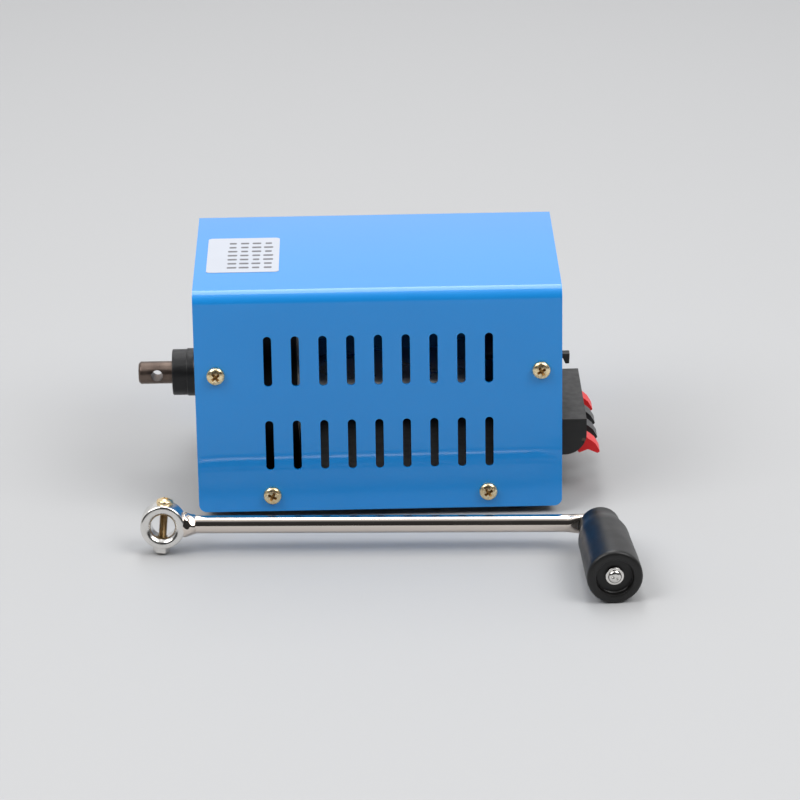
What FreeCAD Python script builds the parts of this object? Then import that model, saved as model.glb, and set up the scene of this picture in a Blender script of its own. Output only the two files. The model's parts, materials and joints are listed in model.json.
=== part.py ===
"""Hand crank generator: a sheet metal case that holds a geared motor, with a loose crank beside it.

Frame: the origin is on the surface that the feet stand on, under the middle of the case.
+X runs along the case from the crank shaft to the terminals, -Y is the slotted front, +Z is up.
All sizes are in millimetres.
"""
import FreeCAD
import Part
import Sketcher
import math
import os

Vector = FreeCAD.Vector
Rotation = FreeCAD.Rotation
Placement = FreeCAD.Placement

doc = FreeCAD.newDocument("hand_crank_generator")


# ---------------------------------------------------------------- the sheet of driving sizes

SIZES = {
    # fits and gaps between pieces
    "running_gap": 0.03, "seat_gap": 0.02, "sheet_gap": 0.1, "free_gap": 0.3,
    # sheet metal case
    "foot_height": 3.0, "base_raise": 0.4, "cover_sheet": 1.0, "cover_bend": 4.6,
    "cover_corner": 3.0, "chassis_sheet": 1.2, "chassis_bend": 1.0, "end_inset": 1.5,
    "head_room": 6.5, "side_room": 24.0, "tail_room": 30.6,
    "base_flange": 12.0, "end_flange": 12.0, "end_flange_rise": 18.0, "toe_width": 9.0, "toe_gap": 1.5,
    # ventilation slots, in rows of equal slots centred on the case
    "slot_count": 9, "slot_width": 3.0, "slot_length": 19.4, "slot_pitch": 10.0,
    "lower_row_level": 28.8, "upper_row_level": 61.4,
    # fasteners
    "thread": 3.0, "thread_hole": 3.05, "clear_hole": 3.4, "mount_screw_rise": 11.0,
    "head_width": 6.6, "head_rise": 2.3,
    "recess_arm": 3.4, "recess_slit": 0.9, "recess_depth": 1.3, "nut_flats": 5.5, "nut_height": 2.4,
    "end_screw_inset": 7.6, "end_screw_level": 56.5, "base_screw_spread": 79.0, "base_screw_level": 9.4,
    "cover_screw_reach": 6.0,
    # feet
    "foot_width": 11.0, "foot_top_width": 9.0, "foot_spread_x": 104.0, "foot_spread_y": 66.0,
    "foot_recess": 7.0, "foot_recess_depth": 2.0,
    # label on the top
    "label_length": 26.5, "label_width": 38.2, "label_sheet": 0.15, "label_inset": 4.4,
    "label_shift": -3.1, "label_corner": 1.6,
    # gear train
    "gear_module": 0.6, "gear_teeth": 52, "pinion_teeth": 12, "pressure_angle": 25.0,
    "gear_backlash": 0.05, "chamber_gap": 1.2, "housing_wall": 2.6, "housing_corner": 5.0,
    "shaft_level": 41.1, "plate_thickness": 3.0, "chamber_depth": 31.0,
    "output_gear_width": 8.0, "cluster_gear_width": 6.0, "motor_pinion_width": 9.0,
    "gear_hub_width": 14.0, "gear_hub_length": 5.0, "gear_pin": 2.5,
    "countershaft_width": 4.0, "bush_wall": 1.6,
    # crank shaft and its nose
    "shaft_width": 8.4, "journal_width": 9.0, "shaft_free": 12.7, "shoulder_gap": 0.1,
    "shaft_chamfer": 0.8, "cross_hole": 4.4, "cross_hole_inset": 6.95,
    "nose_length": 10.1, "nose_width": 17.2, "nose_collar": 19.6,
    "nose_collar_length": 3.6, "nose_rib": 18.4, "nose_spigot": 14.0, "nose_recess": 4.5,
    "shaft_bush_width": 12.0,
    # motor
    "motor_width": 37.0, "motor_length": 60.0, "can_wall": 1.3, "motor_boss": 13.0,
    "motor_bush_width": 4.5,
    "motor_shaft_width": 3.17, "motor_shaft_reach": 14.4, "magnet_thickness": 3.0, "magnet_tail": 18.0,
    "magnet_angle": 130.0, "magnet_offset": 10.0, "core_gap": 0.5, "core_slots": 5, "core_slot_width": 3.2,
    "core_slot_depth": 7.0, "coil_overhang": 5.0, "commutator_width": 10.0, "commutator_length": 8.0,
    "end_bell_depth": 4.0, "brush_width": 4.0, "brush_length": 5.5, "tab_reach": 4.5, "tab_width": 4.8,
    "tab_sheet": 0.8, "motor_screw_circle": 25.0,
    # circuit board behind the terminals
    "board_width": 50.0, "board_height": 38.0, "board_sheet": 1.6, "board_level": 53.0,
    "standoff_length": 10.2, "standoff_width": 5.0, "standoff_inset": 4.0, "cap_gap": 1.0,
    "cap_lift": 1.0, "bridge_drop": 10.0, "choke_lift": 7.0,
    "sink_inset": 9.0, "sink_lift": 1.0, "cap_width": 10.0,
    "cap_length": 12.5, "bridge_side": 10.0, "bridge_rise": 3.2, "choke_width": 14.0, "choke_rise": 6.0,
    "choke_hole": 6.0, "choke_gap": 1.5, "regulator_height": 14.0,
    "sink_width": 15.0, "sink_rise": 10.0, "sink_fin": 1.2, "sink_fins": 4,
    # push terminal block
    "terminal_length": 52.6, "terminal_height": 14.05, "terminal_level": 15.45, "terminal_reach": 10.15,
    "terminal_round": 8.2, "terminal_flange": 66.0, "terminal_rear": 6.5, "terminal_rear_height": 11.0,
    "terminal_rear_length": 48.0, "rivet_width": 2.8, "rivet_head": 5.0, "rivet_rise": 0.6,
    "lever_end": 5.0, "lever_width": 7.4, "lever_slack": 0.25, "lever_pin_width": 1.6,
    "lever_pin_level": 21.2, "lever_pin_reach": 9.1, "wire_hole": 3.0, "wire_hole_level": 26.6,
    "notch_width": 1.1, "notch_depth": 2.7,
    "contact_width": 6.0, "contact_sheet": 0.5, "contact_tag": 4.5,
    # slide switch above the terminals
    "switch_level": 45.3, "switch_shift": 2.0, "switch_travel": 4.0, "switch_length": 19.0,
    "switch_height": 6.6, "switch_depth": 6.0, "switch_plate": 28.0, "switch_sheet": 0.6,
    "switch_hole_spread": 23.2, "knob_width": 4.0, "knob_height": 3.95, "knob_reach": 5.3,
    "knob_stem_height": 1.7, "knob_head_start": 2.7, "knob_slope": 0.9, "rivet_small": 2.2,
    # crank
    "crank_x": -78.3, "crank_y": -73.2, "crank_yaw": -1.75, "crank_tip": 0.235, "crank_level": 10.5,
    "crank_arm": 156.15, "hub_roll": 7.0,
    "hub_width": 16.1, "hub_length": 9.0, "hub_bore": 8.7, "hub_chamfer": 1.3, "hub_edge": 0.8,
    "hub_seat": 7.7, "clamp_angle": 5.0, "clamp_hole": 3.4, "rod_width": 6.4, "weld_foot": 9.6,
    "weld_nose": 7.0, "weld_length": 3.6, "eye_width": 10.5, "eye_thickness": 3.0, "eye_neck": 6.0,
    "grip_lean": 4.75, "grip_length": 47.0, "grip_back_width": 14.6, "grip_flare": 18.4,
    "grip_flare_start": 11.5, "grip_front_width": 19.65, "grip_recess_width": 13.1, "grip_recess_depth": 2.5,
    "grip_edge": 1.5, "grip_play": 0.15, "spindle_width": 5.0, "spindle_neck": 3.6, "spindle_head": 4.8,
    "spindle_rivet": 7.0, "spindle_rivet_rise": 1.2, "washer_width": 6.6, "washer_sheet": 1.0,
    "head_thickness": 1.2,
    # leads
    "lead_width": 1.6, "lead_bend": 4.0, "lead_end_gap": 0.3, "lead_run": 6.3, "lead_pad_y": -12.0,
    "lead_pad_rise": 11.0,
}


class Dim:
    """A size with its value and the expression that gives it from the sheet."""

    def __init__(self, value, text, bound):
        self.value = value
        self.text = text
        self.bound = bound

    def __add__(self, other):
        return combine(self, "+", other)

    def __radd__(self, other):
        return combine(other, "+", self)

    def __sub__(self, other):
        return combine(self, "-", other)

    def __rsub__(self, other):
        return combine(other, "-", self)

    def __mul__(self, other):
        return combine(self, "*", other)

    def __rmul__(self, other):
        return combine(other, "*", self)

    def __truediv__(self, other):
        return combine(self, "/", other)

    def __neg__(self):
        return combine(0.0, "-", self)


def dim(size):
    """Any number as a Dim."""
    if isinstance(size, Dim):
        return size
    return Dim(float(size), repr(float(size)), False)


def combine(first, sign, second):
    first = dim(first)
    second = dim(second)
    values = {
        "+": first.value + second.value,
        "-": first.value - second.value,
        "*": first.value * second.value,
        "/": first.value / second.value if second.value else 0.0,
    }
    text = "(" + first.text + " " + sign + " " + second.text + ")"
    return Dim(values[sign], text, first.bound or second.bound)


class Sheet:
    """The spreadsheet; each alias is read as an attribute."""

    def __init__(self, sizes):
        self.cells = doc.addObject("Spreadsheet::Sheet", "Sizes")
        for row, (alias, number) in enumerate(sizes.items(), start=1):
            self.cells.set("A" + str(row), alias)
            self.cells.set("B" + str(row), str(number))
            self.cells.setAlias("B" + str(row), alias)
        doc.recompute()

    def __getattr__(self, alias):
        return Dim(float(self.cells.get(alias)), "Sizes." + alias, True)


s = Sheet(SIZES)

# ---------------------------------------------------------------- helpers for features


def bind(target, path, size):
    """Bind one property of an object to an expression, or set it where the size is a plain number."""
    size = dim(size)
    if size.bound:
        target.setExpression(path, size.text)


def place(target, at, turn=None):
    """Put an object at a place given in sizes, turned by a Rotation."""
    at = [dim(size) for size in at]
    base = Vector(*[size.value for size in at])
    target.Placement = Placement(base, turn or Rotation())
    for letter, size in zip("xyz", at):
        bind(target, "Placement.Base." + letter, size)


def new_body(label, at=(0, 0, 0), turn=None):
    body = doc.addObject("PartDesign::Body", label)
    body.Label = label
    place(body, at, turn)
    return body


def new_sketch(body, plane, level):
    """A sketch on one of the body's origin planes, lifted to a level along the plane's normal."""
    sketch = body.newObject("Sketcher::SketchObject", body.Label + "_sketch")
    support = [item for item in body.Origin.OriginFeatures if item.Role == plane + "_Plane"][0]
    sketch.AttachmentSupport = [(support, "")]
    sketch.MapMode = "FlatFace"
    level = dim(level)
    sketch.AttachmentOffset = Placement(Vector(0, 0, level.value), Rotation())
    bind(sketch, "AttachmentOffset.Base.z", level)
    return sketch


def pin_point(sketch, geometry, corner, x, y):
    """Hold one point of a sketch at sizes measured from the sketch's origin."""
    for kind, axis, size in (("DistanceX", -2, dim(x)), ("DistanceY", -1, dim(y))):
        if size.value == 0.0 and not size.bound:
            sketch.addConstraint(Sketcher.Constraint("PointOnObject", geometry, corner, axis))
            continue
        number = sketch.addConstraint(Sketcher.Constraint(kind, -1, 1, geometry, corner, size.value))
        bind(sketch, "Constraints[" + str(number) + "]", size)


def polygon(sketch, points):
    """A closed outline with straight sides."""
    points = [(dim(x), dim(y)) for x, y in points]
    first = sketch.GeometryCount
    for start, end in zip(points, points[1:] + points[:1]):
        line = Part.LineSegment(Vector(start[0].value, start[1].value), Vector(end[0].value, end[1].value))
        sketch.addGeometry(line)
    for number in range(len(points)):
        after = first + (number + 1) % len(points)
        sketch.addConstraint(Sketcher.Constraint("Coincident", first + number, 2, after, 1))
    for number, (x, y) in enumerate(points):
        pin_point(sketch, first + number, 1, x, y)


def rectangle(sketch, left, low, right, high):
    polygon(sketch, [(left, low), (right, low), (right, high), (left, high)])


def circle(sketch, x, y, width):
    width = dim(width)
    shape = Part.Circle(Vector(dim(x).value, dim(y).value), Vector(0, 0, 1), width.value / 2)
    number = sketch.addGeometry(shape)
    pin_point(sketch, number, 3, x, y)
    size = sketch.addConstraint(Sketcher.Constraint("Diameter", number, width.value))
    bind(sketch, "Constraints[" + str(size) + "]", width)


def upright_slot(sketch, x, low, high, width):
    """A slot with round ends whose end centres are at low and high."""
    x, low, high, width = dim(x), dim(low), dim(high), dim(width)
    radius = width.value / 2
    bottom = Part.ArcOfCircle(Part.Circle(Vector(x.value, low.value), Vector(0, 0, 1), radius),
                              math.pi, 2 * math.pi)
    top = Part.ArcOfCircle(Part.Circle(Vector(x.value, high.value), Vector(0, 0, 1), radius), 0, math.pi)
    right = Part.LineSegment(Vector(x.value + radius, low.value), Vector(x.value + radius, high.value))
    left = Part.LineSegment(Vector(x.value - radius, high.value), Vector(x.value - radius, low.value))
    first = sketch.GeometryCount
    for piece in (bottom, right, top, left):
        sketch.addGeometry(piece)
    for number in range(4):
        after = first + (number + 1) % 4
        sketch.addConstraint(Sketcher.Constraint("Tangent", first + number, 2, after, 1))
    pin_point(sketch, first, 3, x, low)
    pin_point(sketch, first + 2, 3, x, high)
    size = sketch.addConstraint(Sketcher.Constraint("Radius", first, radius))
    bind(sketch, "Constraints[" + str(size) + "]", width / 2)


def add(body, plane, draw, start, end):
    """Pad what draw() sketches, from start to end along the axis across the plane."""
    start, end = dim(start), dim(end)
    level = -end if plane == "XZ" else start
    sketch = new_sketch(body, plane, level)
    draw(sketch)
    pad = body.newObject("PartDesign::Pad", body.Label + "_pad")
    pad.Profile = sketch
    pad.Length = (end - start).value
    bind(pad, "Length", end - start)
    return pad


def cut(body, plane, draw, start, end):
    """Pocket what draw() sketches, from start to end along the axis across the plane."""
    start, end = dim(start), dim(end)
    level = -start if plane == "XZ" else end
    sketch = new_sketch(body, plane, level)
    draw(sketch)
    pocket = body.newObject("PartDesign::Pocket", body.Label + "_pocket")
    pocket.Profile = sketch
    pocket.Length = (end - start).value
    bind(pocket, "Length", end - start)
    return pocket


def turned(body, points, axis="X"):
    """Revolve an outline about X, given as (x, radius), or about Y or Z, given as (radius, height)."""
    plane = {"X": "XZ", "Y": "XY", "Z": "XZ"}[axis]
    sketch = new_sketch(body, plane, 0)
    polygon(sketch, points)
    revolution = body.newObject("PartDesign::Revolution", body.Label + "_turned")
    revolution.Profile = sketch
    revolution.ReferenceAxis = (sketch, ["H_Axis" if axis == "X" else "V_Axis"])
    revolution.Angle = 360.0
    return revolution


def round_edges(body, radius, chosen):
    """Fillet every edge of the body for which chosen(edge) is true."""
    return edge_feature(body, "PartDesign::Fillet", "Radius", radius, chosen)


def bevel_edges(body, size, chosen):
    """Chamfer every edge of the body for which chosen(edge) is true."""
    return edge_feature(body, "PartDesign::Chamfer", "Size", size, chosen)


def edge_feature(body, kind, name, size, chosen):
    doc.recompute()
    base = body.Tip
    edges = base.Shape.Edges
    names = ["Edge" + str(number) for number, edge in enumerate(edges, start=1) if chosen(edge)]
    if not names:
        raise ValueError(body.Label + " has no edge to work on")
    size = dim(size)
    feature = body.newObject(kind, body.Label + "_edge")
    feature.Base = (base, names)
    setattr(feature, name, size.value)
    bind(feature, name, size)
    return feature


def along(edge, axis):
    """True for a straight edge along one axis of the body."""
    if not isinstance(edge.Curve, (Part.Line, Part.LineSegment)):
        return False
    run = edge.Vertexes[-1].Point.sub(edge.Vertexes[0].Point)
    parts = {"X": run.x, "Y": run.y, "Z": run.z}
    return abs(abs(parts[axis]) - run.Length) < 1e-6


def near(first, second):
    return abs(dim(first).value - dim(second).value) < 1e-4


def fused(label, shapes):
    """Several objects as one solid piece."""
    whole = doc.addObject("Part::MultiFuse", label)
    whole.Label = label
    whole.Shapes = shapes
    return whole


def without(label, base, tool):
    """One object with another cut out of it."""
    rest = doc.addObject("Part::Cut", label)
    rest.Label = label
    rest.Base = base
    rest.Tool = tool
    return rest


def copies(label, *sets):
    """Copies of one or more bodies as one node of separate solids; the bodies themselves aren't written."""
    links = []
    for master, places in sets:
        for at, turn in places:
            link = doc.addObject("App::Link", label + "_copy")
            link.LinkedObject = master
            place(link, at, turn)
            links.append(link)
    group = doc.addObject("Part::Compound", label)
    group.Label = label
    group.Links = links
    return group


NODES = []


def node(piece):
    """Mark an object as one of the pieces that are written out."""
    NODES.append(piece)
    return piece


def facing(x, y, z):
    """The turn that points a piece's own +Z along the given direction."""
    return Rotation(Vector(0, 0, 1), Vector(x, y, z))


# ---------------------------------------------------------------- places worked out from the sizes

gear_tip = s.gear_module * (s.gear_teeth / 2 + 1)
centre_distance = s.gear_module * (s.gear_teeth + s.pinion_teeth) / 2
counter_level = s.shaft_level + centre_distance
housing_half = gear_tip + s.chamber_gap + s.housing_wall
housing_top = counter_level + housing_half

case_top = housing_top + s.head_room + s.cover_sheet
case_half_depth = housing_half + s.side_room + s.cover_sheet
gearbox_length = s.plate_thickness * 2 + s.chamber_depth
case_length = (s.end_inset + s.chassis_sheet) * 2 + gearbox_length + s.motor_length + s.tail_room
case_half = case_length / 2

base_bottom = s.foot_height + s.base_raise
base_top = base_bottom + s.chassis_sheet
base_half = case_half_depth - s.cover_sheet - s.sheet_gap
plate_out = case_half - s.end_inset
plate_in = plate_out - s.chassis_sheet
plate_top = case_top - s.cover_sheet - s.free_gap

front_plate_in = s.plate_thickness - plate_in
rear_plate_in = front_plate_in + s.chamber_depth
motor_face = rear_plate_in + s.plate_thickness
motor_end = motor_face + s.motor_length

slot_half = (s.slot_length - s.slot_width) / 2
first_slot = -(s.slot_pitch * (s.slot_count - 1)) / 2
end_screw_x = case_half - s.end_screw_inset
base_screw_x = s.base_screw_spread / 2
foot_x = s.foot_spread_x / 2
foot_y = s.foot_spread_y / 2

# ---------------------------------------------------------------- fasteners


def pan_screw(label, reach, head_width=s.head_width, thread=s.thread):
    """A pan head screw with a cross recess; its head stands on z = 0 and its thread runs down."""
    body = new_body(label)
    turned(body, [
        (0, -reach), (thread / 2, -reach), (thread / 2, 0), (head_width / 2, 0),
        (head_width / 2, s.head_rise * 0.45), (head_width / 2 * 0.8, s.head_rise * 0.85),
        (head_width / 2 * 0.45, s.head_rise), (0, s.head_rise),
    ], "Z")
    for length, width in ((s.recess_arm, s.recess_slit), (s.recess_slit, s.recess_arm)):
        cut(body, "XY", lambda sketch, a=length, b=width: rectangle(sketch, -a / 2, -b / 2, a / 2, b / 2),
            s.head_rise - s.recess_depth, s.head_rise + 1)
    return body


def hex_nut(label, thread_hole):
    """A hexagon nut that sits on z = 0 and rises from it."""
    body = new_body(label)
    flat = s.nut_flats / 2
    corner = s.nut_flats / math.sqrt(3)
    add(body, "XY", lambda sketch: polygon(sketch, [
        (corner, 0), (corner / 2, flat), (-corner / 2, flat),
        (-corner, 0), (-corner / 2, -flat), (corner / 2, -flat),
    ]), 0, s.nut_height)
    cut(body, "XY", lambda sketch: circle(sketch, 0, 0, thread_hole), 0, s.nut_height)
    return body


cover_screw = pan_screw("cover_screw", s.cover_screw_reach)

# ---------------------------------------------------------------- sheet metal case


def make_cover():
    """One sheet bent over the front, top and back, slotted on both upright sides."""
    body = new_body("cover")
    inner = case_half_depth - s.cover_sheet
    roof = case_top - s.cover_sheet
    add(body, "YZ", lambda sketch: polygon(sketch, [
        (-case_half_depth, s.foot_height), (-inner, s.foot_height), (-inner, roof), (inner, roof),
        (inner, s.foot_height), (case_half_depth, s.foot_height), (case_half_depth, case_top),
        (-case_half_depth, case_top),
    ]), -case_half, case_half)
    round_edges(body, s.cover_bend, lambda edge: along(edge, "X")
                and near(edge.CenterOfMass.z, case_top))
    round_edges(body, s.cover_bend - s.cover_sheet, lambda edge: along(edge, "X")
                and near(edge.CenterOfMass.z, roof) and near(abs(edge.CenterOfMass.y), inner))
    round_edges(body, s.cover_corner, lambda edge: along(edge, "Y")
                and near(edge.CenterOfMass.z, s.foot_height) and near(abs(edge.CenterOfMass.x), case_half))

    def both_rows(sketch):
        for level in (s.lower_row_level, s.upper_row_level):
            upright_slot(sketch, first_slot, level - slot_half, level + slot_half, s.slot_width)

    slots = cut(body, "XZ", both_rows, -case_half_depth - 1, case_half_depth + 1)
    pattern = body.newObject("PartDesign::LinearPattern", "slot_rows")
    pattern.Originals = [slots]
    pattern.Direction = (slots.Profile[0], ["H_Axis"])
    pattern.Length = (s.slot_pitch * (s.slot_count - 1)).value
    bind(pattern, "Length", s.slot_pitch * (s.slot_count - 1))
    pattern.Occurrences = int(s.slot_count.value)
    bind(pattern, "Occurrences", s.slot_count)
    body.Tip = pattern

    def screw_holes(sketch):
        for side in (-1, 1):
            circle(sketch, side * end_screw_x, s.end_screw_level, s.clear_hole)
            circle(sketch, side * base_screw_x, s.base_screw_level, s.clear_hole)

    cut(body, "XZ", screw_holes, -case_half_depth - 1, case_half_depth + 1)
    node(body)


def make_base_plate():
    """The chassis floor: a channel whose two flanges take the cover's lower screws."""
    body = new_body("base_plate")
    wall = base_half - s.chassis_sheet
    rim = base_bottom + s.base_flange
    add(body, "YZ", lambda sketch: polygon(sketch, [
        (-base_half, base_bottom), (base_half, base_bottom), (base_half, rim), (wall, rim),
        (wall, base_top), (-wall, base_top), (-wall, rim), (-base_half, rim),
    ]), -plate_out, plate_out)
    round_edges(body, s.chassis_bend, lambda edge: along(edge, "X")
                and near(edge.CenterOfMass.z, base_bottom))
    relief = plate_in - s.free_gap
    for side in (-1, 1):
        near_end, far_end = (relief, plate_out + 1) if side > 0 else (-plate_out - 1, -relief)
        cut(body, "XZ", lambda sketch, a=near_end, b=far_end: rectangle(sketch, a, base_top, b, rim + 1),
            -base_half - 1, base_half + 1)

    def flange_holes(sketch):
        for side in (-1, 1):
            circle(sketch, side * base_screw_x, s.base_screw_level, s.thread_hole)

    cut(body, "XZ", flange_holes, -base_half - 1, base_half + 1)

    def floor_holes(sketch):
        for side in (-1, 1):
            for across in (-1, 1):
                circle(sketch, side * foot_x, across * foot_y, s.thread_hole)
                circle(sketch, side * toe_x, across * toe_y, s.thread_hole)

    cut(body, "XY", floor_holes, base_bottom - 1, base_top + 1)
    node(body)


toe_x = plate_in - s.end_flange / 2
toe_y = housing_half + s.toe_gap + s.toe_width / 2


def end_plate(label, side):
    """An end wall with two side flanges for the cover and a foot bent in over the base plate."""
    body = new_body(label)
    half = base_half
    low_half = base_half - s.chassis_sheet - s.sheet_gap
    flange_low = s.end_flange_rise
    flange_high = plate_top - s.cover_bend
    span = (-plate_out, -plate_in) if side < 0 else (plate_in, plate_out)
    add(body, "YZ", lambda sketch: polygon(sketch, [
        (-low_half, base_top), (low_half, base_top), (low_half, flange_low), (half, flange_low),
        (half, flange_high), (half - s.cover_bend, plate_top), (s.cover_bend - half, plate_top),
        (-half, flange_high), (-half, flange_low), (-low_half, flange_low),
    ]), *span)
    reach = plate_out - s.end_flange
    inward = (-plate_in, -reach) if side < 0 else (reach, plate_in)

    def flanges(sketch):
        rectangle(sketch, inward[0], -half, inward[1], s.chassis_sheet - half)
        rectangle(sketch, inward[0], half - s.chassis_sheet, inward[1], half)

    add(body, "XY", flanges, flange_low, flange_high)
    toe = plate_in - s.end_flange
    floor_span = (-plate_in, -toe) if side < 0 else (toe, plate_in)

    def toes(sketch):
        for across in (-1, 1):
            middle = across * toe_y
            rectangle(sketch, floor_span[0], middle - s.toe_width / 2, floor_span[1],
                      middle + s.toe_width / 2)

    add(body, "XY", toes, base_top, base_top + s.chassis_sheet)
    cut(body, "XZ", lambda sketch: circle(sketch, side * end_screw_x, s.end_screw_level, s.thread_hole),
        -base_half - 1, base_half + 1)

    def toe_holes(sketch):
        for across in (-1, 1):
            circle(sketch, side * toe_x, across * toe_y, s.clear_hole)

    cut(body, "XY", toe_holes, base_top - 0.5, base_top + s.chassis_sheet + 1)
    return body


def make_shaft_end_plate():
    body = end_plate("shaft_end_plate", -1)

    def holes(sketch):
        circle(sketch, 0, s.shaft_level, s.nose_spigot + s.seat_gap * 2)
        for y, z in mount_screw_places:
            circle(sketch, y, z, s.clear_hole)

    cut(body, "YZ", holes, -plate_out - 1, -plate_in + 1)
    node(body)


def make_terminal_end_plate():
    body = end_plate("terminal_end_plate", 1)

    def holes(sketch):
        rear = s.terminal_rear_length / 2 + s.free_gap
        rectangle(sketch, -rear, terminal_rear_low - s.free_gap, rear, terminal_rear_high + s.free_gap)
        for across in (-1, 1):
            circle(sketch, across * rivet_y, terminal_mid, s.rivet_width + s.seat_gap * 2)
            circle(sketch, s.switch_shift + across * s.switch_hole_spread / 2, s.switch_level,
                   s.rivet_small + s.seat_gap * 2)
            for rise in (-1, 1):
                circle(sketch, across * standoff_y, s.board_level + rise * standoff_z, s.clear_hole)
        window = (s.knob_width + s.switch_travel) / 2 + s.free_gap
        rectangle(sketch, s.switch_shift - window, s.switch_level - s.knob_stem_height / 2 - s.free_gap,
                  s.switch_shift + window, s.switch_level + s.knob_stem_height / 2 + s.free_gap)

    cut(body, "YZ", holes, plate_in - 1, plate_out + 1)
    node(body)


def make_cover_screws():
    places = []
    for front in (-1, 1):
        face = front * case_half_depth
        for side in (-1, 1):
            places.append(((side * end_screw_x, face, s.end_screw_level), facing(0, front, 0)))
            places.append(((side * base_screw_x, face, s.base_screw_level), facing(0, front, 0)))
    node(copies("cover_screws", (cover_screw, places)))


def make_chassis_screws():
    """Four screws through the end plates' toes and four that hold the gearbox to its end plate."""
    toe_screw = pan_screw("toe_screw", s.chassis_sheet * 2 + s.free_gap)
    toes = [((side * toe_x, across * toe_y, base_top + s.chassis_sheet), Rotation())
            for side in (-1, 1) for across in (-1, 1)]
    gearbox_screw = pan_screw("gearbox_mount_screw", s.chassis_sheet + s.plate_thickness)
    mounts = [((-plate_out, y, z), facing(-1, 0, 0)) for y, z in mount_screw_places]
    node(copies("chassis_screws", (toe_screw, toes), (gearbox_screw, mounts)))


def make_feet():
    """Four rubber feet, each held up to the base plate by a screw in its recess."""
    foot = new_body("rubber_foot")
    hole = s.thread / 2 + s.sheet_gap
    turned(foot, [
        (s.foot_recess / 2, 0), (s.foot_width / 2, 0), (s.foot_top_width / 2, base_bottom),
        (hole, base_bottom), (hole, s.foot_recess_depth), (s.foot_recess / 2, s.foot_recess_depth),
    ], "Z")
    corners = [(side * foot_x, across * foot_y) for side in (-1, 1) for across in (-1, 1)]
    node(copies("rubber_feet", (foot, [((x, y, 0), Rotation()) for x, y in corners])))
    reach = base_top - s.foot_recess_depth + s.free_gap
    screw = new_body("foot_screw")
    turned(screw, [
        (0, -reach), (s.thread / 2, -reach), (s.thread / 2, 0), (s.head_width / 2, 0),
        (s.head_width / 2, s.head_rise * 0.3), (s.head_width * 0.3, s.head_rise * 0.6),
        (0, s.head_rise * 0.6),
    ], "Z")
    cut(screw, "XY", lambda sketch: rectangle(sketch, -s.recess_arm / 2, -s.recess_slit / 2,
                                              s.recess_arm / 2, s.recess_slit / 2),
        s.head_rise * 0.3, s.head_rise)
    places = [((x, y, s.foot_recess_depth), facing(0, 0, -1)) for x, y in corners]
    node(copies("foot_screws", (screw, places)))


def make_label():
    body = new_body("label")
    left = s.label_inset - case_half
    add(body, "XY", lambda sketch: rectangle(
        sketch, left, s.label_shift - s.label_width / 2,
        left + s.label_length, s.label_shift + s.label_width / 2), case_top, case_top + s.label_sheet)
    round_edges(body, s.label_corner, lambda edge: along(edge, "Z"))
    node(body)


# ---------------------------------------------------------------- gearbox

mount_screw_y = housing_half - s.thread - 1.5
mount_screw_places = [
    (across * mount_screw_y, level)
    for across in (-1, 1)
    for level in (base_top + s.mount_screw_rise, s.shaft_level + centre_distance * 0.5)
]
long_screw_places = [
    (across * (housing_half - s.thread - 1), level)
    for across in (-1, 1)
    for level in (base_top + s.thread + 1.5, housing_top - s.thread - 1)
]


def block_outline(sketch):
    rectangle(sketch, -housing_half, base_top + s.sheet_gap, housing_half, housing_top)


def rounded_block(body, start, end):
    add(body, "YZ", block_outline, start, end)
    round_edges(body, s.housing_corner, lambda edge: along(edge, "X")
                and near(edge.CenterOfMass.z, housing_top))


def make_gearbox_plates():
    """Two steel plates that close the housing and carry the shafts."""
    bush_hole = s.countershaft_width + s.running_gap * 2 + s.bush_wall * 2 + s.seat_gap * 2
    front = new_body("gearbox_front_plate")
    rounded_block(front, -plate_in, front_plate_in)

    def front_holes(sketch):
        circle(sketch, 0, s.shaft_level, s.nose_spigot + s.seat_gap * 2)
        circle(sketch, 0, counter_level, bush_hole)
        for y, z in mount_screw_places + long_screw_places:
            circle(sketch, y, z, s.thread_hole)

    cut(front, "YZ", front_holes, -plate_in - 1, front_plate_in + 1)
    node(front)
    rear = new_body("gearbox_rear_plate")
    rounded_block(rear, rear_plate_in, motor_face)

    def rear_holes(sketch):
        circle(sketch, 0, s.shaft_level, s.motor_boss + s.seat_gap * 2)
        circle(sketch, 0, counter_level, bush_hole)
        for y, z in long_screw_places:
            circle(sketch, y, z, s.clear_hole)
        for side in (-1, 1):
            circle(sketch, side * s.motor_screw_circle / 2, s.shaft_level, s.clear_hole)

    cut(rear, "YZ", rear_holes, rear_plate_in - 1, motor_face + 1)
    node(rear)


def make_gearbox_housing():
    """The black body between the plates: a chamber for the gears above a cored foot."""
    body = new_body("gearbox_housing")
    start, end = front_plate_in, rear_plate_in
    rounded_block(body, start, end)
    chamber = (gear_tip + s.chamber_gap) * 2
    cut(body, "YZ", lambda sketch: upright_slot(sketch, 0, s.shaft_level, counter_level, chamber),
        start - 1, end + 1)
    core_half = housing_half - s.thread * 3
    core_top = s.shaft_level - chamber / 2 - s.housing_wall
    cut(body, "YZ", lambda sketch: rectangle(
        sketch, -core_half, base_top + s.housing_wall, core_half, core_top), start - 1, end - s.housing_wall)

    def screw_holes(sketch):
        for y, z in long_screw_places:
            circle(sketch, y, z, s.clear_hole)

    cut(body, "YZ", screw_holes, start - 1, end + 1)
    node(body)


def make_gearbox_screws():
    long_reach = s.plate_thickness * 2 + s.chamber_depth - 0.5
    long_screw = pan_screw("gearbox_screw", long_reach)
    places = [((motor_face, y, z), facing(1, 0, 0)) for y, z in long_screw_places]
    node(copies("gearbox_screws", (long_screw, places)))


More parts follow.
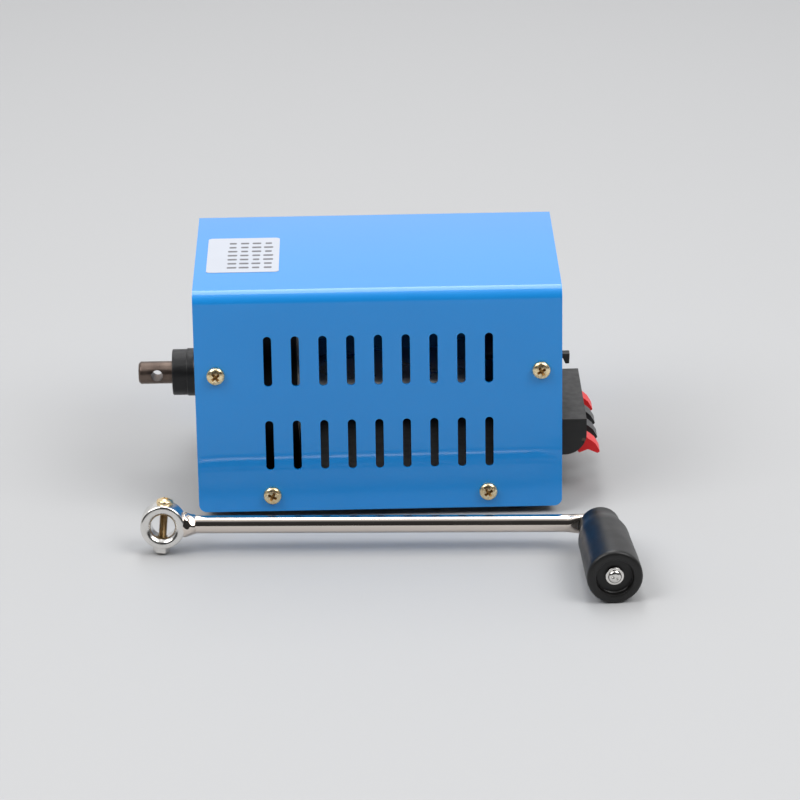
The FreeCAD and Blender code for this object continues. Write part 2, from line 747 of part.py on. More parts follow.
def make_nose():
    """The black nose round the crank shaft, with a bronze bush inside."""
    body = new_body("shaft_nose", (0, 0, s.shaft_level))
    tip = -case_half - s.nose_length
    wall = -plate_out
    bore = s.shaft_bush_width / 2 + s.seat_gap
    collar = wall - s.nose_collar_length
    turned(body, [
        (tip, bore), (tip, s.nose_width / 2 - 0.6), (tip + 0.6, s.nose_width / 2),
        (collar - 2.4, s.nose_width / 2), (collar - 2.4, s.nose_rib / 2), (collar - 1.2, s.nose_rib / 2),
        (collar, s.nose_collar / 2), (wall, s.nose_collar / 2), (wall, s.nose_spigot / 2),
        (front_plate_in, s.nose_spigot / 2), (front_plate_in, bore),
    ])
    node(body)
    bush = new_body("shaft_bush", (0, 0, s.shaft_level))
    inner = s.journal_width / 2 + s.running_gap
    turned(bush, [
        (shaft_bush_start, inner), (shaft_bush_start, s.shaft_bush_width / 2),
        (front_plate_in, s.shaft_bush_width / 2), (front_plate_in, inner),
    ])
    node(bush)


shaft_bush_start = s.nose_recess - case_half - s.nose_length
output_gear_start = front_plate_in + 1.0
output_gear_end = output_gear_start + s.output_gear_width
hub_end = output_gear_end + s.gear_hub_length
cluster_pinion_end = output_gear_end + 1.0
cluster_gear_end = rear_plate_in - 1.5
cluster_gear_start = cluster_gear_end - s.cluster_gear_width
shaft_tip = -case_half - s.nose_length - s.shaft_free
gear_pin_x = output_gear_end + s.gear_hub_length / 2


def make_output_shaft():
    """The crank shaft, cross drilled near its tip for the crank's clamp screw."""
    body = new_body("output_shaft", (0, 0, s.shaft_level))
    radius = s.shaft_width / 2
    journal = s.journal_width / 2
    end = hub_end + 0.5
    shoulder = shaft_bush_start - s.shoulder_gap
    turned(body, [
        (shaft_tip, 0), (shaft_tip, radius - s.shaft_chamfer), (shaft_tip + s.shaft_chamfer, radius),
        (shoulder, radius), (shoulder, journal), (end - s.shaft_chamfer, journal),
        (end, journal - s.shaft_chamfer), (end, 0),
    ])
    cut(body, "XZ", lambda sketch: circle(sketch, shaft_tip + s.cross_hole_inset, 0, s.cross_hole),
        -radius - 1, radius + 1)
    cut(body, "XZ", lambda sketch: circle(sketch, gear_pin_x, 0, s.gear_pin + s.seat_gap * 2),
        -journal - 1, journal + 1)
    node(body)


def involute(angle):
    return math.tan(angle) - angle


def tooth_points(teeth, module, pressure, trim, steps):
    """Radius and half angle along one flank of a tooth, from its foot to its tip."""
    pitch = teeth * module / 2
    base = pitch * math.cos(pressure)
    foot = max(base, pitch - 1.25 * module)
    tip = pitch + module
    half = math.pi / (2 * teeth) - trim / (2 * pitch) + involute(pressure)
    points = []
    for step in range(steps + 1):
        radius = foot + (tip - foot) * step / steps
        points.append((radius, half - involute(math.acos(min(1.0, base / radius)))))
    return points


def gear_solid(teeth, module, pressure, trim, start, end, bore, first_angle):
    """A spur gear about the X axis with one tooth centred at first_angle from +Z."""
    root = teeth * module / 2 - 1.25 * module
    flank = tooth_points(teeth, module, pressure, trim, 4)

    def at(radius, angle):
        return Vector(start, radius * math.sin(angle), radius * math.cos(angle))

    edges = []
    pitch_angle = 2 * math.pi / teeth
    for number in range(teeth):
        middle = first_angle + number * pitch_angle
        rising = [at(radius, middle - half) for radius, half in flank]
        falling = [at(radius, middle + half) for radius, half in reversed(flank)]
        foot_half = flank[0][1]
        after = middle + pitch_angle - foot_half
        if flank[0][0] > root + 1e-6:
            edges.append(Part.LineSegment(at(root, middle - foot_half), rising[0]).toShape())
        edges.append(curve_through(rising))
        edges.append(Part.Arc(rising[-1], at(flank[-1][0], middle), falling[0]).toShape())
        edges.append(curve_through(falling))
        if flank[0][0] > root + 1e-6:
            edges.append(Part.LineSegment(falling[-1], at(root, middle + foot_half)).toShape())
        gap_start = at(root, middle + foot_half)
        edges.append(Part.Arc(gap_start, at(root, middle + pitch_angle / 2), at(root, after)).toShape())
    outline = Part.Wire(Part.__sortEdges__(edges))
    blank = Part.Face(outline).extrude(Vector(end - start, 0, 0))
    if bore == 0:
        return blank
    hole = Part.makeCylinder(bore / 2, end - start + 2, Vector(start - 1, 0, 0), Vector(1, 0, 0))
    return blank.cut(hole)


def curve_through(points):
    curve = Part.BSplineCurve()
    curve.interpolate(points)
    return curve.toShape()


def gear(label, teeth, start, end, bore, first_angle, level):
    """A gear as one piece at the level of its shaft."""
    shape = gear_solid(int(teeth.value), s.gear_module.value, math.radians(s.pressure_angle.value),
                       s.gear_backlash.value, start.value, end.value, bore.value, first_angle)
    piece = doc.addObject("Part::Feature", label)
    piece.Label = label
    piece.Shape = shape
    place(piece, (0, 0, level))
    return piece


half_pinion_pitch = math.pi / SIZES["pinion_teeth"]


def make_output_gear():
    """The large gear on the crank shaft: teeth and hub in one, pinned through the hub."""
    bore = s.journal_width + s.seat_gap * 2
    teeth = gear("output_gear_teeth", s.gear_teeth, output_gear_start, output_gear_end, bore, 0.0,
                 s.shaft_level)
    hub = new_body("output_gear_hub", (0, 0, s.shaft_level))
    inner = bore / 2
    turned(hub, [
        (output_gear_end - 1, inner), (output_gear_end - 1, s.gear_hub_width / 2),
        (hub_end, s.gear_hub_width / 2), (hub_end, inner),
    ])
    cut(hub, "XZ", lambda sketch: circle(sketch, gear_pin_x, 0, s.gear_pin + s.seat_gap * 2),
        -s.gear_hub_width / 2 - 1, s.gear_hub_width / 2 + 1)
    node(fused("output_gear", [teeth, hub]))
    pin = new_body("output_gear_pin", (gear_pin_x, 0, s.shaft_level))
    add(pin, "XZ", lambda sketch: circle(sketch, 0, 0, s.gear_pin),
        -s.gear_hub_width / 2, s.gear_hub_width / 2)
    node(pin)


def make_countershaft():
    """The shaft above the crank shaft: its pinion is cut in it, its gear is pressed on it."""
    shaft = new_body("countershaft_bar", (0, 0, counter_level))
    start = s.free_gap - plate_in
    end = motor_face - s.free_gap
    radius = s.countershaft_width / 2
    turned(shaft, [(start, 0), (start, radius), (end, radius), (end, 0)])
    teeth = gear("countershaft_pinion", s.pinion_teeth, front_plate_in + 0.5, cluster_pinion_end,
                 dim(0), half_pinion_pitch, counter_level)
    node(fused("countershaft", [shaft, teeth]))
    bore = s.countershaft_width + s.seat_gap * 2
    wheel = gear("cluster_gear_teeth", s.gear_teeth, cluster_gear_start, cluster_gear_end, bore, 0.0,
                 counter_level)
    spacer = new_body("cluster_gear_hub", (0, 0, counter_level))
    low = cluster_pinion_end + s.seat_gap
    high = cluster_gear_start + 1
    turned(spacer, [
        (low, bore / 2), (low, s.countershaft_width), (high, s.countershaft_width), (high, bore / 2),
    ])
    node(fused("cluster_gear", [wheel, spacer]))
    bush = new_body("countershaft_bush")
    inner = s.countershaft_width / 2 + s.running_gap
    turned(bush, [
        (0, inner), (0, inner + s.bush_wall), (s.plate_thickness, inner + s.bush_wall),
        (s.plate_thickness, inner),
    ])
    places = [((-plate_in, 0, counter_level), Rotation()), ((rear_plate_in, 0, counter_level), Rotation())]
    node(copies("countershaft_bushes", (bush, places)))


# ---------------------------------------------------------------- motor

can_inner = s.motor_width / 2 - s.can_wall
magnet_inner = can_inner - s.seat_gap - s.magnet_thickness
core_radius = magnet_inner - s.core_gap
magnet_start = motor_face + s.magnet_offset
magnet_end = motor_end - s.magnet_tail
bell_start = motor_end - s.end_bell_depth
commutator_start = magnet_end + s.coil_overhang + 0.6
commutator_end = commutator_start + s.commutator_length
boss_start = motor_face - s.plate_thickness + 0.3
motor_shaft_radius = s.motor_shaft_width / 2


def make_motor_case():
    """The steel can with its magnets, the bushes and the plastic end bell."""
    can = new_body("motor_can", (0, 0, s.shaft_level))
    bush_seat = s.motor_boss / 2 - s.can_wall
    face_inner = motor_face + s.can_wall
    turned(can, [
        (boss_start, motor_shaft_radius + 1.2), (boss_start, s.motor_boss / 2),
        (motor_face, s.motor_boss / 2), (motor_face, s.motor_width / 2), (motor_end, s.motor_width / 2),
        (motor_end, can_inner), (face_inner, can_inner), (face_inner, bush_seat),
        (boss_start + s.can_wall, bush_seat), (boss_start + s.can_wall, motor_shaft_radius + 1.2),
    ])

    def screw_holes(sketch):
        for side in (-1, 1):
            circle(sketch, side * s.motor_screw_circle / 2, 0, s.thread_hole)

    cut(can, "YZ", screw_holes, motor_face - 0.5, face_inner + 0.5)
    node(can)
    magnet = new_body("motor_magnet")
    outer = can_inner - s.seat_gap
    arc = turned(magnet, [
        (magnet_start, magnet_inner), (magnet_start, outer), (magnet_end, outer),
        (magnet_end, magnet_inner),
    ])
    arc.Midplane = True
    arc.Angle = s.magnet_angle.value
    bind(arc, "Angle", s.magnet_angle)
    places = [((0, 0, s.shaft_level), Rotation(Vector(1, 0, 0), side * 90)) for side in (-1, 1)]
    node(copies("motor_magnets", (magnet, places)))
    shaft_bore = motor_shaft_radius + s.running_gap
    front_bush = new_body("motor_front_bush", (0, 0, s.shaft_level))
    start = boss_start + s.can_wall
    turned(front_bush, [
        (start, shaft_bore), (start, bush_seat - s.seat_gap),
        (start + s.motor_bush_width, bush_seat - s.seat_gap), (start + s.motor_bush_width, shaft_bore),
    ])
    bell = new_body("motor_end_bell", (0, 0, s.shaft_level))
    seat = s.commutator_width / 2
    rim = can_inner - s.seat_gap
    lip = s.motor_width / 2 - s.can_wall * 3
    turned(bell, [
        (bell_start, seat), (bell_start, lip), (bell_start - 3, lip), (bell_start - 3, rim),
        (motor_end - s.sheet_gap, rim), (motor_end - s.sheet_gap, shaft_bore + 0.6),
        (motor_end - 1, shaft_bore + 0.6), (motor_end - 1, seat),
    ])

    def tab_slots(sketch):
        for side in (-1, 1):
            level = side * tab_radius
            rectangle(sketch, -s.tab_width / 2 - s.seat_gap, level - s.tab_sheet / 2 - s.seat_gap,
                      s.tab_width / 2 + s.seat_gap, level + s.tab_sheet / 2 + s.seat_gap)

    cut(bell, "YZ", tab_slots, bell_start - 1, motor_end + 1)
    node(bell)
    rear_bush = new_body("motor_rear_bush", (0, 0, s.shaft_level))
    turned(rear_bush, [
        (bell_start, shaft_bore), (bell_start, seat - s.seat_gap), (motor_end - 1, seat - s.seat_gap),
        (motor_end - 1, shaft_bore),
    ])
    pair = doc.addObject("Part::Compound", "motor_bushes")
    pair.Label = "motor_bushes"
    pair.Links = [front_bush, rear_bush]
    node(pair)


tab_radius = s.commutator_width / 2 + s.brush_length + 1.0


def make_brushes():
    """Two carbon brushes on the commutator, each in a brass holder whose tab leaves the end bell."""
    places = [((0, 0, s.shaft_level), Rotation()),
              ((0, 0, s.shaft_level), Rotation(Vector(1, 0, 0), 180))]
    brush = new_body("motor_brush")
    low = s.commutator_width / 2 + 0.1
    start = commutator_start + 1.5
    end = start + s.brush_width
    half = s.brush_width / 2
    add(brush, "XZ", lambda sketch: rectangle(sketch, start, low, end, low + s.brush_length), -half, half)
    node(copies("motor_brushes", (brush, places)))
    holder = new_body("brush_holder")
    level = tab_radius - s.tab_sheet / 2
    top = tab_radius + s.tab_sheet / 2
    wide = s.tab_width / 2
    add(holder, "XZ", lambda sketch: rectangle(
        sketch, start - 1, level, motor_end + s.tab_reach, top), -wide, wide)
    cut(holder, "XY", lambda sketch: circle(sketch, motor_end + s.tab_reach - 2, 0, 1.6), level - 1, top + 1)
    node(copies("brush_holders", (holder, places)))


def make_rotor():
    """The rotor: shaft, slotted iron core, copper windings and commutator, with the motor pinion."""
    shaft = new_body("motor_shaft", (0, 0, s.shaft_level))
    start = motor_face - s.motor_shaft_reach
    end = motor_end - 0.5
    turned(shaft, [(start, 0), (start, motor_shaft_radius), (end, motor_shaft_radius), (end, 0)])
    node(shaft)
    node(gear("motor_pinion", s.pinion_teeth, start + 0.2, start + 0.2 + s.motor_pinion_width,
              s.motor_shaft_width + s.seat_gap * 2, half_pinion_pitch, s.shaft_level))

    core = new_body("rotor_core", (0, 0, s.shaft_level))
    bore = motor_shaft_radius + s.seat_gap
    turned(core, [
        (magnet_start, bore), (magnet_start, core_radius), (magnet_end, core_radius), (magnet_end, bore),
    ])
    slot_low = core_radius - s.core_slot_depth
    slot = cut(core, "YZ", lambda sketch: rectangle(
        sketch, -s.core_slot_width / 2, slot_low, s.core_slot_width / 2, core_radius + 1),
        magnet_start - 1, magnet_end + 1)
    around(core, slot, s.core_slots)
    node(core)

    coils = new_body("rotor_windings", (0, 0, s.shaft_level))
    inner = bore + 2.2
    outer = core_radius - 1.6
    gap = s.sheet_gap
    turned(coils, [
        (magnet_start - s.coil_overhang, inner), (magnet_start - s.coil_overhang, outer),
        (magnet_start - gap, outer), (magnet_start - gap, inner),
    ])
    in_slot = add(coils, "YZ", lambda sketch: rectangle(
        sketch, gap - s.core_slot_width / 2, slot_low + gap, s.core_slot_width / 2 - gap, outer),
        magnet_start - gap - 0.5, magnet_end + gap + 0.5)
    around(coils, in_slot, s.core_slots)
    turned(coils, [
        (magnet_end + gap, inner), (magnet_end + gap, outer), (magnet_end + s.coil_overhang, outer),
        (magnet_end + s.coil_overhang, inner),
    ])
    node(coils)

    commutator = new_body("commutator", (0, 0, s.shaft_level))
    turned(commutator, [
        (commutator_start, bore), (commutator_start, s.commutator_width / 2),
        (commutator_end, s.commutator_width / 2), (commutator_end, bore),
    ])
    slit = cut(commutator, "YZ", lambda sketch: rectangle(
        sketch, -0.25, s.commutator_width / 2 - 1, 0.25, s.commutator_width / 2 + 1),
        commutator_start - 1, commutator_end + 1)
    around(commutator, slit, s.core_slots)
    node(commutator)


def around(body, feature, count):
    """Repeat a feature about the body's X axis."""
    pattern = body.newObject("PartDesign::PolarPattern", body.Label + "_around")
    pattern.Originals = [feature]
    axis = [item for item in body.Origin.OriginFeatures if item.Role == "X_Axis"][0]
    pattern.Axis = (axis, [""])
    pattern.Angle = 360.0
    pattern.Occurrences = int(count.value)
    bind(pattern, "Occurrences", count)
    body.Tip = pattern


def make_motor_screws():
    screw = pan_screw("motor_screw", s.plate_thickness + s.can_wall, s.head_width - 1)
    places = [((rear_plate_in, side * s.motor_screw_circle / 2, s.shaft_level), facing(-1, 0, 0))
              for side in (-1, 1)]
    node(copies("motor_screws", (screw, places)))


# ---------------------------------------------------------------- circuit board

board_far = plate_in - s.standoff_length
board_near = board_far - s.board_sheet
standoff_y = s.board_width / 2 - s.standoff_inset
standoff_z = s.board_height / 2 - s.standoff_inset


def make_board():
    """An upright board on four standoffs behind the terminals; its parts face the motor."""
    board = new_body("circuit_board")
    add(board, "YZ", lambda sketch: rectangle(
        sketch, -s.board_width / 2, s.board_level - s.board_height / 2,
        s.board_width / 2, s.board_level + s.board_height / 2), board_near, board_far)

    def corner_holes(sketch):
        for y, z in standoff_places:
            circle(sketch, y, z, s.clear_hole)

    cut(board, "YZ", corner_holes, board_near - 1, board_far + 1)
    node(board)
    post = new_body("board_standoff")
    inner = s.thread_hole / 2
    turned(post, [
        (0, inner), (0, s.standoff_width / 2), (s.standoff_length, s.standoff_width / 2),
        (s.standoff_length, inner),
    ])
    node(copies("board_standoffs", (post, [((board_far, y, z), Rotation()) for y, z in standoff_places])))
    reach = s.standoff_length / 2 - s.free_gap
    screw = pan_screw("board_screw", reach, s.head_width - 0.8)
    near_side = [((board_near, y, z), facing(-1, 0, 0)) for y, z in standoff_places]
    far_side = [((plate_out, y, z), facing(1, 0, 0)) for y, z in standoff_places]
    node(copies("board_screws", (screw, near_side + far_side)))


standoff_places = [
    (across * standoff_y, s.board_level + rise * standoff_z) for across in (-1, 1) for rise in (-1, 1)
]


def make_board_parts():
    """Bridge rectifier, smoothing capacitor, choke and a regulator on a finned heat sink."""
    face = board_near
    sink_y = s.board_width / 2 - s.sink_inset
    choke_y = sink_y - (s.sink_width + s.choke_width) / 2 - s.choke_gap
    cap_y = choke_y - (s.choke_width + s.cap_width) / 2 - s.cap_gap
    cap = new_body("smoothing_capacitor", (face - s.cap_length, cap_y, s.board_level + s.cap_lift))
    radius = s.cap_width / 2
    turned(cap, [
        (0, 0), (0, radius - 0.6), (0.6, radius), (s.cap_length - 2.4, radius),
        (s.cap_length - 1.8, radius - 0.6), (s.cap_length - 1.2, radius), (s.cap_length, radius),
        (s.cap_length, 0),
    ])
    node(cap)
    bridge = new_body("bridge_rectifier", (face - s.bridge_rise, 0, s.board_level - s.bridge_drop))
    half = s.bridge_side / 2
    add(bridge, "YZ", lambda sketch: rectangle(sketch, -half, -half, half, half), 0, s.bridge_rise)
    bevel_edges(bridge, 1.2, lambda edge: along(edge, "X") and edge.CenterOfMass.y < 0
                and edge.CenterOfMass.z > 0)
    node(bridge)
    choke = new_body("choke", (face - s.choke_rise, choke_y, s.board_level + s.choke_lift))
    turned(choke, [
        (0, s.choke_hole / 2), (0, s.choke_width / 2), (s.choke_rise, s.choke_width / 2),
        (s.choke_rise, s.choke_hole / 2),
    ])
    round_edges(choke, 1.2, lambda edge: near(edge.CenterOfMass.x, 0)
                and edge.BoundBox.YLength > s.choke_hole.value + 1)
    node(choke)
    sink = new_body("heat_sink", (face - s.sink_rise, sink_y, s.board_level + s.sink_lift))
    wide = s.sink_width / 2

    fin_half = s.regulator_height / 2
    add(sink, "XY", lambda sketch: rectangle(sketch, s.sink_rise - s.sink_fin, -wide, s.sink_rise, wide),
        -fin_half, fin_half)
    pitch = (s.sink_width - s.sink_fin) / (s.sink_fins - 1)
    fin = add(sink, "XY", lambda sketch: rectangle(
        sketch, 0, -wide, s.sink_rise - s.sink_fin, s.sink_fin - wide), -fin_half, fin_half)
    fins = sink.newObject("PartDesign::LinearPattern", "heat_sink_fins")
    fins.Originals = [fin]
    fins.Direction = (fin.Profile[0], ["V_Axis"])
    fins.Length = (pitch * (s.sink_fins - 1)).value
    bind(fins, "Length", pitch * (s.sink_fins - 1))
    fins.Occurrences = int(s.sink_fins.value)
    bind(fins, "Occurrences", s.sink_fins)
    sink.Tip = fins
    node(sink)


# ---------------------------------------------------------------- push terminals

terminal_top = s.terminal_level + s.terminal_height
terminal_mid = s.terminal_level + s.terminal_height / 2
terminal_rear_low = terminal_mid - s.terminal_rear_height / 2
terminal_rear_high = terminal_mid + s.terminal_rear_height / 2
terminal_face = case_half + s.terminal_reach
rivet_y = (s.terminal_length + s.terminal_flange) / 4
lever_pitch = (s.terminal_length - s.lever_end * 2) / 3
lever_ys = [lever_pitch * step for step in (1.5, 0.5, -0.5, -1.5)]
lever_pin_x = case_half + s.lever_pin_reach
pocket_floor = case_half + 4.6
pocket_top = s.lever_pin_level + 2.2


def make_terminal_body():
    """A black moulding: flange, front block with a rounded lower edge, top groove, lever pockets."""
    body = new_body("terminal_body")
    half = s.terminal_length / 2
    flange = s.terminal_flange / 2
    add(body, "XZ", lambda sketch: rectangle(
        sketch, case_half - s.sheet_gap, s.terminal_level, terminal_face, terminal_top), -half, half)
    round_edges(body, s.terminal_round, lambda edge: along(edge, "Y")
                and near(edge.CenterOfMass.x, terminal_face) and near(edge.CenterOfMass.z, s.terminal_level))
    add(body, "YZ", lambda sketch: rectangle(
        sketch, -flange, s.terminal_level, flange, terminal_top), plate_out, case_half)
    rear = s.terminal_rear_length / 2
    add(body, "YZ", lambda sketch: rectangle(
        sketch, -rear, terminal_rear_low, rear, terminal_rear_high), plate_out - s.terminal_rear, plate_out)
    cut(body, "XZ", lambda sketch: rectangle(
        sketch, case_half, terminal_top - s.notch_depth, case_half + s.notch_width, terminal_top + 1),
        -half - 1, half + 1)
    room = s.lever_width / 2 + s.lever_slack

    def pockets(sketch):
        for y in lever_ys:
            rectangle(sketch, pocket_floor, y - room, terminal_face + 1, y + room)

    cut(body, "XY", pockets, s.terminal_level - 1, pocket_top)

    def wire_holes(sketch):
        for y in lever_ys:
            circle(sketch, y, s.wire_hole_level, s.wire_hole)

    cut(body, "YZ", wire_holes, case_half + s.notch_width + 0.8, terminal_face + 1)
    cut(body, "XZ", lambda sketch: circle(
        sketch, lever_pin_x, s.lever_pin_level, s.lever_pin_width + s.seat_gap * 2), -half - 1, half + 1)

    def rivet_holes(sketch):
        for across in (-1, 1):
            circle(sketch, across * rivet_y, terminal_mid, s.rivet_width + s.seat_gap * 2)

    cut(body, "YZ", rivet_holes, plate_out - 1, case_half + 1)
    node(body)
    pin = new_body("lever_pin", (lever_pin_x, 0, s.lever_pin_level))
    add(pin, "XZ", lambda sketch: circle(sketch, 0, 0, s.lever_pin_width), 0.4 - half, half - 0.4)
    node(pin)


def make_terminal_contacts():
    """Four brass contacts on the block's back: a foot against the moulding and a solder tag."""
    contact = new_body("terminal_contact")
    back = plate_out - s.terminal_rear
    half = s.contact_width / 2
    add(contact, "XZ", lambda sketch: rectangle(
        sketch, back - s.contact_tag, -s.contact_sheet / 2, back, s.contact_sheet / 2), -half, half)
    add(contact, "XZ", lambda sketch: rectangle(
        sketch, back - s.contact_sheet, -half, back, half), -half, half)
    node(copies("terminal_contacts", (contact, [((0, y, terminal_mid), Rotation()) for y in lever_ys])))


def make_rivets():
    """Rivets that hold the terminal block and the switch to the end plate."""
    rivet = new_body("terminal_rivet")
    turned(rivet, [
        (-s.end_inset - s.chassis_sheet - 0.6, 0), (-s.end_inset - s.chassis_sheet - 0.6, s.rivet_head / 2),
        (-s.end_inset - s.chassis_sheet, s.rivet_head / 2),
        (-s.end_inset - s.chassis_sheet, s.rivet_width / 2), (0, s.rivet_width / 2),
        (0, s.rivet_head / 2), (s.rivet_rise, s.rivet_width / 2), (s.rivet_rise, 0),
    ])
    at_block = [((case_half, side * rivet_y, terminal_mid), Rotation()) for side in (-1, 1)]
    small = new_body("switch_rivet")
    skin = s.chassis_sheet + s.switch_sheet
    turned(small, [
        (-skin - 0.5, 0), (-skin - 0.5, s.rivet_small * 0.9), (-skin, s.rivet_small * 0.9),
        (-skin, s.rivet_small / 2), (0, s.rivet_small / 2), (0, s.rivet_small * 0.9),
        (0.5, s.rivet_small / 2), (0.5, 0),
    ])
    at_switch = [((plate_out, s.switch_shift + side * s.switch_hole_spread / 2, s.switch_level), Rotation())
                 for side in (-1, 1)]
    node(copies("end_plate_rivets", (rivet, at_block), (small, at_switch)))


def make_levers():
    """Four levers on one pin: each has a paddle outside and a short leg along the block's slope."""
    for number, y in enumerate(lever_ys, start=1):
        body = new_body("terminal_lever_" + str(number), (lever_pin_x, y, s.lever_pin_level))
        half = s.lever_width / 2
        add(body, "XZ", lambda sketch: polygon(sketch, [
            (-1.5, 0.9), (-0.4, 1.5), (0.9, 1.0), (1.6, 0.1), (2.8, -0.7), (4.4, -2.1), (6.2, -5.3),
            (5.2, -5.9), (1.6, -4.3), (-1.6, -5.6), (-2.2, -5.0), (-1.9, -3.0),
        ]), -half, half)
        round_edges(body, 0.5, lambda edge: along(edge, "Y") and edge.CenterOfMass.x > 4.9)
        cut(body, "XZ", lambda sketch: circle(
            sketch, 0, 0, s.lever_pin_width + s.running_gap * 2), -half - 1, half + 1)
        node(body)


# ---------------------------------------------------------------- slide switch


def make_switch():
    """A slide switch behind the end plate; its knob comes out through a window."""
    body = new_body("switch_body")
    back = plate_in - s.switch_sheet
    half = s.switch_length / 2
    plate_half = s.switch_plate / 2
    tall = s.switch_height / 2
    add(body, "YZ", lambda sketch: rectangle(
        sketch, s.switch_shift - plate_half, s.switch_level - tall,
        s.switch_shift + plate_half, s.switch_level + tall), back, plate_in)
    add(body, "YZ", lambda sketch: rectangle(
        sketch, s.switch_shift - half, s.switch_level - tall, s.switch_shift + half,
        s.switch_level + tall), back - s.switch_depth, back)
    window = (s.knob_width + s.switch_travel) / 2 + s.free_gap
    room = s.knob_stem_height / 2 + s.free_gap
    cut(body, "YZ", lambda sketch: rectangle(
        sketch, s.switch_shift - window, s.switch_level - room, s.switch_shift + window,
        s.switch_level + room), back - s.switch_depth + 1.2, plate_in + 1)

    def rivet_holes(sketch):
        for across in (-1, 1):
            circle(sketch, s.switch_shift + across * s.switch_hole_spread / 2, s.switch_level,
                   s.rivet_small + s.seat_gap * 2)

    cut(body, "YZ", rivet_holes, back - 1, plate_in + 1)
    node(body)
    knob = new_body("switch_knob", (0, s.switch_shift - s.switch_travel / 2, s.switch_level))
    stem = s.knob_stem_height / 2
    inner = back - s.switch_depth + 1.2 + s.free_gap
    tip = case_half + s.knob_reach
    head = case_half + s.knob_head_start
    low = stem - s.knob_height
    add(knob, "XZ", lambda sketch: polygon(sketch, [
        (inner, -stem), (head, -stem), (head + s.knob_slope, low), (tip - 0.2, low), (tip, stem),
        (inner, stem),
    ]), -s.knob_width / 2, s.knob_width / 2)
    node(knob)


# ---------------------------------------------------------------- leads


def lead_solid(points, bend, width):
    """A round lead through the points, with an arc of radius bend at each inner one."""
    points = [Vector(*point) for point in points]
    edges = []
    start = points[0]
    for before, corner, after in zip(points, points[1:], points[2:]):
        back = (before - corner).normalize()
        ahead = (after - corner).normalize()
        half_turn = (math.pi - back.getAngle(ahead)) / 2
        trim = bend * math.tan(half_turn)
        first = corner + back * trim
        last = corner + ahead * trim
        inward = (back + ahead).normalize()
        middle = corner + inward * (bend / math.cos(half_turn) - bend)
        edges.append(Part.LineSegment(start, first).toShape())
        edges.append(Part.Arc(first, middle, last).toShape())
        start = last
    edges.append(Part.LineSegment(start, points[-1]).toShape())
    path = Part.Wire(edges)
    section = Part.Wire(Part.Circle(points[0], points[1] - points[0], width / 2).toShape())
    solid = path.makePipeShell([section], True, True)
    expected = math.pi * width * width / 4 * path.Length
    print("lead volume", round(solid.Volume, 2), "section times length", round(expected, 2))
    return solid


def make_leads():
    """The two leads from the motor's tabs to the board."""
    start_x = motor_end.value + s.lead_end_gap.value
    turn_x = (motor_end + s.tab_reach + s.lead_run).value
    board_x = board_near.value
    pad_y = s.lead_pad_y.value
    for label, side in (("motor_lead_red", 1), ("motor_lead_black", -1)):
        over_tab = tab_radius + (s.tab_sheet + s.lead_width) / 2 + s.seat_gap
        level = (s.shaft_level + side * over_tab).value
        pad_z = (s.board_level + side * s.lead_pad_rise).value
        points = [(start_x, 0, level), (turn_x, 0, level), (turn_x, pad_y, pad_z), (board_x, pad_y, pad_z)]
        piece = doc.addObject("Part::Feature", label)
        piece.Label = label
        piece.Shape = lead_solid(points, s.lead_bend.value, s.lead_width.value)
        node(piece)


# ---------------------------------------------------------------- crank

crank_turn = Rotation(Vector(0, 0, 1), SIZES["crank_yaw"]).multiply(
    Rotation(Vector(0, 1, 0), SIZES["crank_tip"]))
hub_turn = crank_turn.multiply(Rotation(Vector(1, 0, 0), -SIZES["hub_roll"]))
crank_at = (s.crank_x, s.crank_y, s.crank_level)


def arm_point(x, y, z):
    """A place on the crank, given along its arm, its bore and upwards, as a place in the model."""
    yaw = math.radians(SIZES["crank_yaw"])
    tip = math.radians(SIZES["crank_tip"])
    out = x * math.cos(tip) + z * math.sin(tip)
    return (
        s.crank_x + out * math.cos(yaw) - y * math.sin(yaw),
        s.crank_y + out * math.sin(yaw) + y * math.cos(yaw),
        s.crank_level + z * math.cos(tip) - x * math.sin(tip),
    )


clamp_turn = Rotation(Vector(0, 1, 0), SIZES["clamp_angle"])
grip_turn = crank_turn.multiply(Rotation(Vector(0, 0, 1), SIZES["grip_lean"]))


def make_crank_hub():
    """A ring with its bore along Y, spot faced and drilled for the clamp screw."""
    body = new_body("crank_hub_blank", crank_at, hub_turn)
    half = s.hub_length / 2
    bore = s.hub_bore / 2
    outer = s.hub_width / 2
    turned(body, [
        (bore, s.hub_chamfer - half), (bore + s.hub_chamfer, -half), (outer - s.hub_edge, -half),
        (outer, s.hub_edge - half), (outer, half - s.hub_edge), (outer - s.hub_edge, half),
        (bore + s.hub_chamfer, half), (bore, half - s.hub_chamfer),
    ], "Y")
    seats = new_body("crank_hub_seats", crank_at, hub_turn.multiply(clamp_turn))
    for side in (-1, 1):
        low, high = (s.hub_seat, s.hub_width) if side > 0 else (-s.hub_width, -s.hub_seat)
        add(seats, "XY", lambda sketch: circle(sketch, 0, 0, s.head_width + 0.6), low, high)
    add(seats, "XY", lambda sketch: circle(sketch, 0, 0, s.clamp_hole), -s.hub_width, s.hub_width)
    node(without("crank_hub", body, seats))


